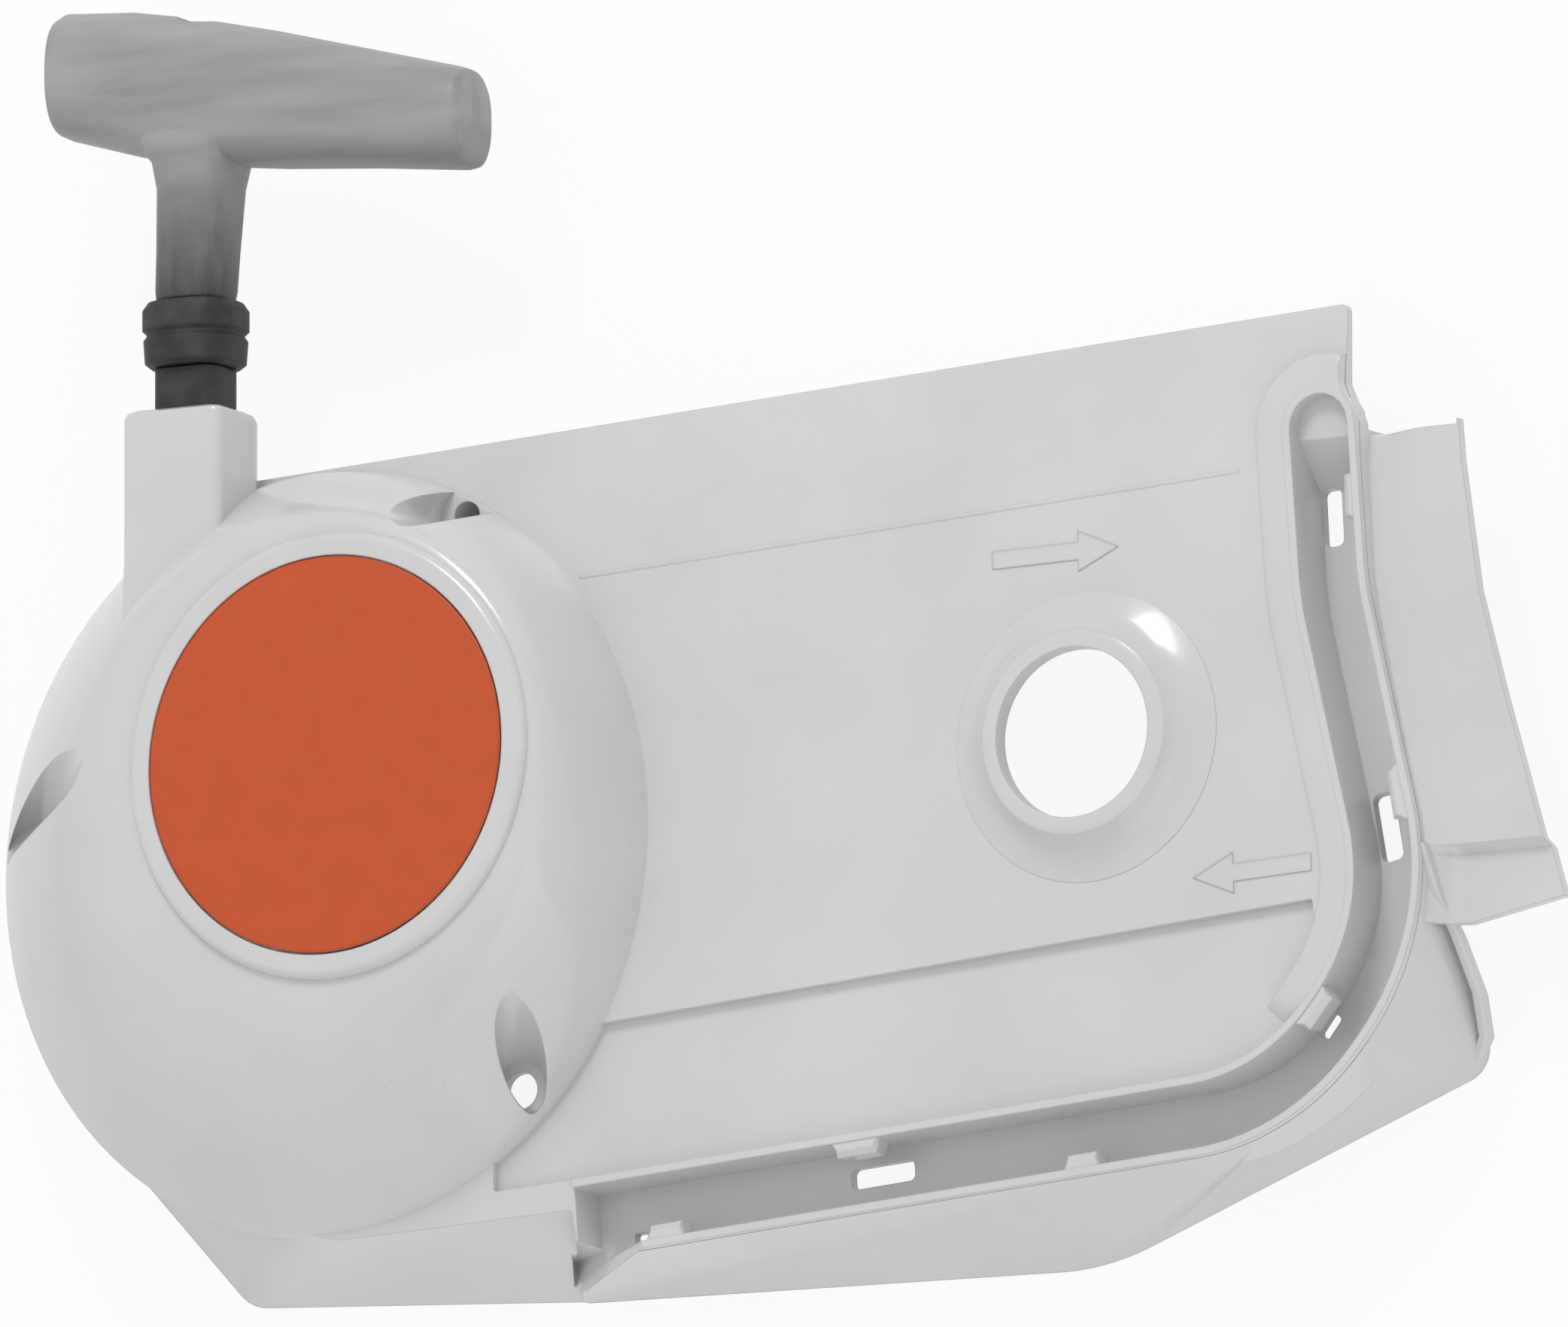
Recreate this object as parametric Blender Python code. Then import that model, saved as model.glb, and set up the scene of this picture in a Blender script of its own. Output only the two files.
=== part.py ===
"""Recoil starter cover of a blower: a moulded fan housing cover whose dome holds the rope rotor, with its pull handle."""

import math

import bmesh
import bpy
from mathutils import Matrix, Vector

# Frame while modelling: the rotor turns about Z through X = Y = 0, the plate's
# face is Z = 0, the dome rises towards +Z and the rope leaves towards +Y.

# General sizes of the moulding, in metres
WALL = 0.002
GAP = 0.0003
SKIRT_DEPTH = 0.024
ARC_STEPS = 4
ROUND_STEPS = 48
INNER_STEPS = 36

# Dome: an egg-shaped foot that runs up to a round boss
DOME_FOOT_X = -0.0144
DOME_FOOT_Y = -0.0126
DOME_FOOT_WIDTH = 0.1317
DOME_FOOT_HEIGHT = 0.1382
DOME_FLANK_RISE = 0.0200
BOSS_RADIUS = 0.0420
BOSS_EDGE = 0.0045
BOSS_RISE = 0.0060
CEILING_THICKNESS = 0.0030
SKIRT_DRAFT = 0.0010

# Badge disc let into the boss
DISC_RADIUS = 0.0358
DISC_THICKNESS = 0.0012
DISC_RECESS = 0.0010

# Plate to the right of the dome
PLATE_RIGHT = 0.1935
PLATE_TOP_LEFT = 0.0562
PLATE_TOP_RIGHT = 0.0691
PLATE_BOTTOM = -0.0834
TOP_STRIP_WIDTH = 0.0275
TOP_STRIP_FALL = 0.0022
LEDGE_RECESS = 0.0015

# Groove that runs along the bottom and up the right side
GROOVE_WIDTH = 0.0116
GROOVE_DEPTH = 0.0090
LIP_THICKNESS = 0.0016
LIP_RISE = 0.0014
BERM_WIDTH = 0.0065

# Collar round the through hole
HOLE_X = 0.1405
HOLE_Y = -0.0047
HOLE_RADIUS = 0.0148
COLLAR_FOOT_RADIUS = 0.0262
COLLAR_RISE = 0.0056

# Side flange
FLANGE_DROP = 0.0042
FLANGE_STEP = 0.0022

# Screw pockets in the dome
POCKET_RADIUS = 0.0054
SCREW_HOLE_RADIUS = 0.0026

# Rope, and the tower that it leaves through
ROPE_RADIUS = 0.0015
ROPE_PITCH_RADIUS = 0.0352
TOWER_WIDTH = 0.0208
TOWER_TOP = 0.0675
TOWER_FRONT = 0.0225
TOWER_BACK = -0.0005
TOWER_FRONT_EDGE = 0.0030
TOWER_BACK_EDGE = 0.0080
MOUTH_DEPTH = 0.0115
MOUTH_FLOOR = 0.0025

# Rope bush in the tower
BUSH_BORE_RADIUS = 0.0023
BUSH_BODY_RADIUS = 0.0040
BUSH_FLANGE_RADIUS = 0.0058
BUSH_FLANGE = 0.0018

# Rotor, post and spring
POST_RADIUS = 0.0045
POST_BOSS_RADIUS = 0.0080
POST_BOSS_DEPTH = 0.0012
RUNNING_CLEARANCE = 0.00008
ROTOR_RADIUS = 0.0380
ROTOR_FLANGE = 0.0015
ROPE_SLOT = 0.0064
ROPE_CORE_RADIUS = 0.0260
HUB_RADIUS = 0.0086
HUB_REACH = 0.0036
ROTOR_WELL_DEPTH = 0.0062
ROTOR_RIBS = 6
SPRING_CASE_RADIUS = 0.0330
SPRING_CASE_WALL = 0.0010
SPRING_HEIGHT = 0.0050
SPRING_STRIP = 0.0007
SPRING_TURNS = 7
SPRING_INNER_RADIUS = 0.0105
SPRING_PITCH = 0.0026

# Pawl on the rotor
PAWL_PIVOT_RADIUS = 0.0200
PAWL_PIN_RADIUS = 0.0022
PAWL_THICKNESS = 0.0040
PAWL_LENGTH = 0.0170
PAWL_SPRING_RADIUS = 0.0005

# Washer and clip that hold the rotor on its post
WASHER_RADIUS = 0.0085
WASHER_THICKNESS = 0.0010
CLIP_RADIUS = 0.0076
CLIP_THICKNESS = 0.0008
POST_END = 0.0012

# Pull handle
GRIP_LENGTH_LEFT = 0.0302
GRIP_LENGTH_RIGHT = 0.0600
GRIP_DEPTH = 0.0190
GRIP_HEIGHT = 0.0266
GRIP_CENTRE = 0.0590
STEM_WIDTH = 0.0188
COLLAR_WIDTH = 0.0216
COLLAR_HEIGHT = 0.0118
INSERT_WIDTH = 0.0164
INSERT_DEPTH = 0.0152
INSERT_SHOWN = 0.0082
KNOT_RADIUS = 0.0038
KNOT_POCKET_RADIUS = 0.0048


def clear_scene():
    for obj in list(bpy.data.objects):
        bpy.data.objects.remove(obj, do_unlink=True)


def make_material(name, colour, roughness, metallic=0.0):
    material = bpy.data.materials.new(name)
    material.use_nodes = True
    shader = material.node_tree.nodes["Principled BSDF"]
    shader.inputs["Base Color"].default_value = (*colour, 1.0)
    shader.inputs["Roughness"].default_value = roughness
    shader.inputs["Metallic"].default_value = metallic
    return material


def to_object(name, bm):
    bmesh.ops.recalc_face_normals(bm, faces=bm.faces[:])
    mesh = bpy.data.meshes.new(name)
    bm.to_mesh(mesh)
    bm.free()
    obj = bpy.data.objects.new(name, mesh)
    bpy.context.collection.objects.link(obj)
    return obj


def loft(name, rings, split=False):
    """A closed body through rings of the same number of points, with both ends filled.

    Split sides all have their diagonal the same way, so that a twisted wall keeps its thickness.
    """
    bm = bmesh.new()
    loops = [[bm.verts.new(point) for point in ring] for ring in rings]
    for lower, upper in zip(loops, loops[1:]):
        for i, vertex in enumerate(lower):
            j = (i + 1) % len(lower)
            if split:
                bm.faces.new((vertex, lower[j], upper[j]))
                bm.faces.new((vertex, upper[j], upper[i]))
            else:
                bm.faces.new((vertex, lower[j], upper[j], upper[i]))
    bm.faces.new(loops[0])
    bm.faces.new(loops[-1])
    return to_object(name, bm)


def prism(name, outline, low, high):
    return loft(name, [[(x, y, z) for x, y in outline] for z in (low, high)])


def turned(name, profile, centre=(0.0, 0.0), axis="Z", steps=ROUND_STEPS):
    """A body of revolution. Its profile is a closed list of (radius, height), or starts and ends on the axis."""
    bm = bmesh.new()
    vertices = [bm.verts.new((radius, 0.0, height)) for radius, height in profile]
    closed = profile[0][0] > 0.0
    pairs = list(zip(vertices, vertices[1:]))
    if closed:
        pairs.append((vertices[-1], vertices[0]))
    edges = [bm.edges.new(pair) for pair in pairs]
    bmesh.ops.spin(
        bm,
        geom=vertices + edges,
        cent=(0.0, 0.0, 0.0),
        axis=(0.0, 0.0, 1.0),
        angle=2.0 * math.pi,
        steps=steps,
        use_merge=True,
    )
    bmesh.ops.remove_doubles(bm, verts=bm.verts[:], dist=1e-7)
    if axis == "Y":
        bmesh.ops.rotate(bm, verts=bm.verts[:], cent=(0, 0, 0), matrix=Matrix.Rotation(-math.pi / 2.0, 3, "X"))
    bmesh.ops.translate(bm, verts=bm.verts[:], vec=(centre[0], centre[1], centre[2] if len(centre) > 2 else 0.0))
    return to_object(name, bm)


def cylinder(name, radius, low, high, centre=(0.0, 0.0), steps=ROUND_STEPS):
    return turned(name, [(0.0, low), (radius, low), (radius, high), (0.0, high)], centre, steps=steps)


def boolean(target, tool, operation, solver="EXACT"):
    """Applies a Boolean to the target and removes the tool."""
    modifier = target.modifiers.new(operation.title(), "BOOLEAN")
    modifier.operation = operation
    modifier.solver = solver
    modifier.object = tool
    bpy.context.view_layer.update()
    graph = bpy.context.evaluated_depsgraph_get()
    mesh = bpy.data.meshes.new_from_object(target.evaluated_get(graph))
    target.modifiers.clear()
    target.data = mesh
    bpy.data.objects.remove(tool, do_unlink=True)


def cut(target, *tools, solver="EXACT"):
    for tool in tools:
        boolean(target, tool, "DIFFERENCE", solver)


def add(target, *tools, solver="EXACT"):
    for tool in tools:
        boolean(target, tool, "UNION", solver)


def finish(obj, material, parent, smooth_angle=35.0):
    obj.data.materials.clear()
    obj.data.materials.append(material)
    obj.data.shade_smooth()
    obj.data.set_sharp_from_angle(angle=math.radians(smooth_angle))
    obj.parent = parent
    return obj


def line_meeting(a, b, c, d):
    """Where the line through a and b meets the line through c and d."""
    r = (b[0] - a[0], b[1] - a[1])
    s = (d[0] - c[0], d[1] - c[1])
    cross = r[0] * s[1] - r[1] * s[0]
    t = ((c[0] - a[0]) * s[1] - (c[1] - a[1]) * s[0]) / cross
    return (a[0] + t * r[0], a[1] + t * r[1])


def moved_side(a, b, distance):
    """The side from a to b moved to its left by a distance."""
    length = math.hypot(b[0] - a[0], b[1] - a[1])
    nx, ny = -(b[1] - a[1]) / length * distance, (b[0] - a[0]) / length * distance
    return (a[0] + nx, a[1] + ny), (b[0] + nx, b[1] + ny)


def moved_path(corners, distance, closed=False):
    """An outline of (x, y, radius) corners moved to its left, with each rounding kept concentric."""
    count = len(corners)
    moved = []
    for i, (x, y, radius) in enumerate(corners):
        before, after = corners[i - 1], corners[(i + 1) % count]
        if not closed and i == 0:
            moved.append((*moved_side((x, y), after[:2], distance)[0], radius))
            continue
        if not closed and i == count - 1:
            moved.append((*moved_side(before[:2], (x, y), distance)[1], radius))
            continue
        first = moved_side(before[:2], (x, y), distance)
        second = moved_side((x, y), after[:2], distance)
        turn = (x - before[0]) * (after[1] - y) - (y - before[1]) * (after[0] - x)
        new_radius = radius - distance if turn > 0 else radius + distance
        moved.append((*line_meeting(*first, *second), max(new_radius, 0.0002)))
    return moved


def rounded(corners, closed=True):
    """Points along an outline of (x, y, radius) corners, with ARC_STEPS chords at each rounding."""
    points = []
    count = len(corners)
    for i, (x, y, radius) in enumerate(corners):
        if not closed and i in (0, count - 1):
            points.append((x, y))
            continue
        corner = Vector((x, y))
        before = (Vector(corners[i - 1][:2]) - corner).normalized()
        after = (Vector(corners[(i + 1) % count][:2]) - corner).normalized()
        half = before.angle(after) / 2.0
        centre = corner + (before + after).normalized() * radius / math.sin(half)
        start = corner + before * radius / math.tan(half) - centre
        end = corner + after * radius / math.tan(half) - centre
        sweep = start.angle_signed(end)
        for step in range(ARC_STEPS + 1):
            arm = start.copy()
            arm.rotate(Matrix.Rotation(-sweep * step / ARC_STEPS, 2))
            points.append((centre.x + arm.x, centre.y + arm.y))
    return points


# Groove's middle line as (x, y, radius) corners, from its open end to its round end
GROOVE_PATH = [
    (0.0370, PLATE_BOTTOM, 0.0),
    (PLATE_RIGHT - 0.0127, PLATE_BOTTOM + 0.0096, 0.040),
    (PLATE_RIGHT + 0.0104, PLATE_BOTTOM + 0.0375, 0.040),
    (PLATE_RIGHT + 0.0080, PLATE_BOTTOM + 0.0574, 0.020),
    (PLATE_RIGHT - 0.0020, PLATE_BOTTOM + 0.1004, 0.060),
    (PLATE_RIGHT - 0.0042, PLATE_BOTTOM + 0.1304, 0.0),
]


def channel_outline(path, half_width, start_reach=0.0):
    """Closed outline of a channel along an open path, with a round end."""
    right = rounded(moved_path(path, -half_width), closed=False)
    left = rounded(moved_path(path, half_width), closed=False)
    end = Vector(path[-1][:2])
    arm = Vector(right[-1]) - end
    steps = 10
    cap = []
    for step in range(1, steps):
        turned_arm = arm.copy()
        turned_arm.rotate(Matrix.Rotation(math.pi * step / steps, 2))
        cap.append((end.x + turned_arm.x, end.y + turned_arm.y))
    right[0] = (right[0][0] - start_reach, right[0][1])
    left[0] = (left[0][0] - start_reach, left[0][1])
    return right + cap + left[::-1]


def plate_corners(level):
    """Corners of the plate's outline at its face ("face") or at the skirt's rim ("rim")."""
    outer = GROOVE_WIDTH / 2.0 + LIP_THICKNESS
    if level == "face":
        ridge = moved_path(GROOVE_PATH, -outer)
        return [
            (0.0360, PLATE_BOTTOM + 0.0020, 0.0005),
            (ridge[0][0], ridge[0][1], 0.0005),
            *[(x, y, radius) for x, y, radius in ridge[1:5]],
            (ridge[5][0], ridge[5][1], 0.0030),
            (PLATE_RIGHT, PLATE_TOP_RIGHT - 0.0145, 0.0030),
            (PLATE_RIGHT, PLATE_TOP_RIGHT, 0.0015),
            (-0.0340, PLATE_TOP_LEFT, 0.0005),
            (-0.0600, 0.0, 0.0005),
            (-0.0550, PLATE_BOTTOM + 0.0234, 0.0005),
            (-0.0150, PLATE_BOTTOM + 0.0002, 0.0030),
        ]
    return [
        (0.0250, PLATE_BOTTOM - 0.0103, 0.0003),
        (0.0262, PLATE_BOTTOM - 0.0106, 0.0003),
        (PLATE_RIGHT - 0.0605, PLATE_BOTTOM - 0.0129, 0.050),
        (PLATE_RIGHT + 0.0165, PLATE_BOTTOM + 0.0189, 0.005),
        (PLATE_RIGHT + 0.0168, PLATE_BOTTOM + 0.0574, 0.020),
        (PLATE_RIGHT + 0.0067, PLATE_BOTTOM + 0.1009, 0.050),
        (PLATE_RIGHT + 0.0042, PLATE_BOTTOM + 0.1304, 0.0030),
        (PLATE_RIGHT + 0.0010, PLATE_TOP_RIGHT - 0.0145, 0.0030),
        (PLATE_RIGHT + 0.0010, PLATE_TOP_RIGHT + 0.0010, 0.0015),
        (-0.0340, PLATE_TOP_LEFT + 0.0010, 0.0005),
        (-0.0740, -0.0200, 0.0005),
        (-0.0720, PLATE_BOTTOM + 0.0264, 0.0030),
        (-0.0430, PLATE_BOTTOM - 0.0060, 0.0040),
    ]


def plate_block(name, inset, top):
    """The plate and its skirt as a solid block, inset by a wall when it is the hollow below them."""
    bottom = -SKIRT_DEPTH - (0.001 if inset else 0.0)
    rings = []
    for level, height in (("rim", bottom), ("face", top)):
        outline = rounded(moved_path(plate_corners(level), inset, closed=True))
        rings.append([(x, y, height) for x, y in outline])
    return loft(name, rings, split=True)


def dome_point(angle, inset, share):
    """A point of the dome's flank, from its egg-shaped foot (share 0) to the round boss (share 1)."""
    foot_x = DOME_FOOT_X + (DOME_FOOT_WIDTH / 2.0 - inset) * math.cos(angle)
    foot_y = DOME_FOOT_Y + (DOME_FOOT_HEIGHT / 2.0 - inset) * math.sin(angle)
    boss_x = (BOSS_RADIUS - inset) * math.cos(angle)
    boss_y = (BOSS_RADIUS - inset) * math.sin(angle)
    return foot_x + (boss_x - foot_x) * share, foot_y + (boss_y - foot_y) * share


def dome_block(name, inset, drop):
    """The dome as a solid, or the hollow inside it when inset and dropped by a wall."""
    angles = [2.0 * math.pi * i / ROUND_STEPS for i in range(ROUND_STEPS)]
    bottom = -SKIRT_DEPTH - (0.001 if inset else 0.0)
    rings = [[(*dome_point(a, inset - SKIRT_DRAFT, 0.0), bottom) for a in angles]]
    flank_rows = 5
    for row in range(flank_rows + 1):
        share = row / flank_rows
        height = DOME_FLANK_RISE * math.sin(share * math.pi / 2.0) ** 0.9 - drop
        rings.append([(*dome_point(a, inset, share), height) for a in angles])
    top = DOME_FLANK_RISE + BOSS_RISE - (CEILING_THICKNESS if inset else 0.0)
    edge = BOSS_EDGE
    edge_rows = 4
    for row in range(1 if inset else 0, edge_rows + 1):
        turn = math.pi / 2.0 * row / edge_rows
        radius = BOSS_RADIUS - inset - edge * (1.0 - math.cos(turn))
        height = top - edge * (1.0 - math.sin(turn))
        rings.append([(radius * math.cos(a), radius * math.sin(a), height) for a in angles])
    return loft(name, rings)


def tower_section(y, left, right, front, back, front_edge, back_edge):
    """A rounded section of the rope tower across its axis."""
    corners = [
        (left, back, back_edge),
        (right, back, back_edge),
        (right, front, front_edge),
        (left, front, front_edge),
    ]
    return [(x, y, z) for x, z in rounded(corners)]


def tower_block():
    left = -ROPE_PITCH_RADIUS - TOWER_WIDTH / 2.0 + 0.0004
    right = left + TOWER_WIDTH
    rows = [
        (-0.0120, left + 0.0065, right - 0.0060, TOWER_FRONT + 0.0010),
        (0.0020, left + 0.0030, right - 0.0020, TOWER_FRONT + 0.0010),
        (0.0180, left + 0.0006, right, TOWER_FRONT + 0.0008),
        (0.0400, left, right, TOWER_FRONT),
        (TOWER_TOP - 0.0016, left, right, TOWER_FRONT),
        (TOWER_TOP - 0.0005, left + 0.0004, right - 0.0004, TOWER_FRONT - 0.0004),
        (TOWER_TOP, left + 0.0014, right - 0.0014, TOWER_FRONT - 0.0014),
    ]
    sections = []
    for y, low_x, high_x, front in rows:
        back = TOWER_BACK + (TOWER_FRONT - front if front < TOWER_FRONT else 0.0)
        sections.append(tower_section(y, low_x, high_x, front, back, TOWER_FRONT_EDGE, TOWER_BACK_EDGE))
    return loft("tower", sections)


def rope_height():
    """Height of the rope's run: the middle of the rotor's rope slot."""
    return rotor_top() - ROTOR_FLANGE - ROPE_SLOT / 2.0


def ceiling():
    return DOME_FLANK_RISE + BOSS_RISE - CEILING_THICKNESS


def spring_top():
    return ceiling() - POST_BOSS_DEPTH - GAP


def case_bottom():
    return spring_top() - SPRING_CASE_WALL - SPRING_HEIGHT - 2.0 * GAP


def rotor_top():
    return case_bottom() - SPRING_CASE_WALL - 2.0 * GAP


def rotor_bottom():
    return rotor_top() - 2.0 * ROTOR_FLANGE - ROPE_SLOT


def hub_bottom():
    return rotor_bottom() - HUB_REACH


def mouth_width():
    return INSERT_WIDTH + 4.0 * GAP


def mouth_depth():
    return INSERT_DEPTH + 4.0 * GAP


def mouth_floor_top():
    return TOWER_TOP - MOUTH_DEPTH


def tower_hollows():
    """The mouth that the handle seats in, the rope's passage below it and the hole for the bush."""
    height = rope_height()
    half = mouth_width() / 2.0
    deep = mouth_depth() / 2.0
    x = -ROPE_PITCH_RADIUS
    mouth = [
        tower_section(y, x - half, x + half, height + deep, height - deep, 0.0030, 0.0030)
        for y in (mouth_floor_top(), TOWER_TOP + 0.001)
    ]
    passage_half = half - 0.0010
    passage = [
        tower_section(y, x - passage_half, x + passage_half, height + deep - 0.001, height - deep + 0.001, 0.003, 0.003)
        for y in (0.0150, mouth_floor_top() - MOUTH_FLOOR)
    ]
    low = mouth_floor_top() - MOUTH_FLOOR - 0.002
    hole = turned(
        "bush_hole",
        [(0.0, low), (BUSH_BODY_RADIUS + GAP, low), (BUSH_BODY_RADIUS + GAP, mouth_floor_top() + 0.002), (0.0, mouth_floor_top() + 0.002)],
        (x, 0.0, height),
        axis="Y",
        steps=20,
    )
    return [loft("mouth", mouth), loft("passage", passage), hole]


def strip_slope(name, drop):
    """A wedge over the plate's top strip, which falls away towards the plate's top edge."""
    tilt = math.atan2(PLATE_TOP_RIGHT - PLATE_TOP_LEFT, PLATE_RIGHT + 0.034)
    slope = math.atan2(TOP_STRIP_FALL, TOP_STRIP_WIDTH)
    bm = bmesh.new()
    bmesh.ops.create_cube(bm, size=1.0)
    bmesh.ops.scale(bm, vec=(0.40, 0.06, 0.02), verts=bm.verts[:])
    bmesh.ops.translate(bm, vec=(0.0, 0.03, 0.01), verts=bm.verts[:])
    bmesh.ops.rotate(bm, verts=bm.verts[:], cent=(0, 0, 0), matrix=Matrix.Rotation(-slope, 3, "X"))
    bmesh.ops.rotate(bm, verts=bm.verts[:], cent=(0, 0, 0), matrix=Matrix.Rotation(tilt, 3, "Z"))
    crease_y = PLATE_TOP_RIGHT - TOP_STRIP_WIDTH
    bmesh.ops.translate(bm, vec=(PLATE_RIGHT, crease_y, -drop), verts=bm.verts[:])
    return to_object(name, bm)


def ledge_outline(grow):
    """The lower field of the plate, a little below the rest, between the crease and the groove."""
    return rounded([
        (0.0200, PLATE_BOTTOM + 0.0336 + grow, 0.0005),
        (0.0200, PLATE_BOTTOM + 0.0030, 0.0005),
        (PLATE_RIGHT - 0.0180, PLATE_BOTTOM + 0.0100, 0.0250),
        (PLATE_RIGHT - 0.0065 + grow, PLATE_BOTTOM + 0.0300, 0.0080),
        (PLATE_RIGHT - 0.0063 + grow, PLATE_BOTTOM + 0.0457 + grow, 0.0005),
    ])


def pocket_places():
    """Upper and lower end of each screw pocket, and the height of its floor."""
    return [
        ((-0.0622, 0.0030), (-0.0668, -0.0035), 0.0010),
        ((0.0292, -0.0488), (0.0268, -0.0560), 0.0),
        ((0.0142, 0.0478), (0.0160, 0.0470), 0.0),
    ]


def pocket_outline(upper, lower, radius):
    """A slot with round ends between two points."""
    path = [(*upper, 0.0), (*lower, 0.0)]
    outline = []
    for centre, other in ((path[0], path[1]), (path[1], path[0])):
        start = math.atan2(centre[1] - other[1], centre[0] - other[0]) - math.pi / 2.0
        for step in range(9):
            angle = start + math.pi * step / 8
            outline.append((centre[0] + radius * math.cos(angle), centre[1] + radius * math.sin(angle)))
    return outline


def flange_body():
    """The side flange: a curved strip that leaves the ridge, with a step near its lower end."""
    base = PLATE_BOTTOM + 0.0834
    rows = [
        (base + 0.0455, PLATE_RIGHT - 0.0010, PLATE_RIGHT + 0.0212, 0.0012),
        (base + 0.0395, PLATE_RIGHT - 0.0005, PLATE_RIGHT + 0.0228, 0.0),
        (base + 0.0160, PLATE_RIGHT + 0.0022, PLATE_RIGHT + 0.0258, 0.0),
        (base - 0.0020, PLATE_RIGHT + 0.0072, PLATE_RIGHT + 0.0298, 0.0),
        (base - 0.0144, PLATE_RIGHT + 0.0104, PLATE_RIGHT + 0.0334, 0.0),
        (base - 0.0295, PLATE_RIGHT + 0.0135, PLATE_RIGHT + 0.0378, 0.0),
        (base - 0.0310, PLATE_RIGHT + 0.0135, PLATE_RIGHT + 0.0384, -FLANGE_STEP),
        (base - 0.0400, PLATE_RIGHT + 0.0135, PLATE_RIGHT + 0.0410, -FLANGE_STEP),
    ]
    sections = []
    for y, inner, outer, rise in rows:
        floor = -FLANGE_DROP + (rise if rise < 0.0 else -rise)
        slant = 0.0035 if y < base - 0.035 else 0.0
        top = [
            (inner, y - slant, 0.0004),
            (inner + 0.0028, y - slant, 0.0002 + (floor - 0.0) * 0.35),
            (inner + 0.0050, y - slant, floor * 0.78),
            (inner + 0.0085, y - slant, floor),
            (outer, y, floor),
        ]
        below = [(x, row_y, z - WALL) for x, row_y, z in reversed(top)]
        sections.append(top + below)
    return loft("flange", sections)


def corner_lip():
    """The upstanding lip along the sloping right edge of the apron, below the flange."""
    thickness = LIP_THICKNESS
    x = PLATE_RIGHT + 0.0148
    profile = [
        (PLATE_BOTTOM + 0.0530, 0.0006),
        (PLATE_BOTTOM + 0.0450, 0.0006),
        (PLATE_BOTTOM + 0.0370, -0.0085),
        (PLATE_BOTTOM + 0.0240, -0.0185),
        (PLATE_BOTTOM + 0.0195, -0.0225),
        (PLATE_BOTTOM + 0.0195, -SKIRT_DEPTH),
        (PLATE_BOTTOM + 0.0350, -SKIRT_DEPTH),
        (PLATE_BOTTOM + 0.0530, -0.0080),
    ]
    return loft("corner_lip", [[(x + side, y, z) for y, z in profile] for side in (0.0, thickness)])


def slot_places():
    """Middle, half size and turn of each slot through the groove's floor, and the side its hook stands on."""
    return [
        (PLATE_RIGHT - 0.0056, PLATE_BOTTOM + 0.1144, 0.0020, 0.0052, 3.0, 1),
        (PLATE_RIGHT - 0.0050, PLATE_BOTTOM + 0.0830, 0.0011, 0.0021, 10.0, -1),
        (PLATE_RIGHT + 0.0042, PLATE_BOTTOM + 0.0590, 0.0022, 0.0062, 10.0, 1),
        (PLATE_RIGHT - 0.0075, PLATE_BOTTOM + 0.0243, 0.0012, 0.0024, -38.0, -1),
        (PLATE_RIGHT - 0.0560, PLATE_BOTTOM + 0.0022, 0.0022, 0.0012, 4.0, 1),
        (PLATE_RIGHT - 0.0985, PLATE_BOTTOM + 0.0048, 0.0064, 0.0019, 4.0, -1),
    ]


def groove_slots():
    tools = []
    for x, y, half_x, half_y, turn, _ in slot_places():
        corners = [(-half_x, -half_y), (half_x, -half_y), (half_x, half_y), (-half_x, half_y)]
        angle = math.radians(turn)
        outline = [
            (x + u * math.cos(angle) - v * math.sin(angle), y + u * math.sin(angle) + v * math.cos(angle))
            for u, v in corners
        ]
        rounding = min(half_x, half_y) * 0.6
        outline = rounded([(u, v, rounding) for u, v in outline])
        tools.append(prism("slot", outline, -GROOVE_DEPTH - WALL - 0.001, -GROOVE_DEPTH + 0.001))
    return tools


def cut_shell(target, *tools):
    """Cuts thin walls whose faces nearly lie on each other, which defeats the exact solver."""
    cut(target, *tools, solver="MANIFOLD")


def add_shell(target, *tools):
    add(target, *tools, solver="MANIFOLD")


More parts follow.
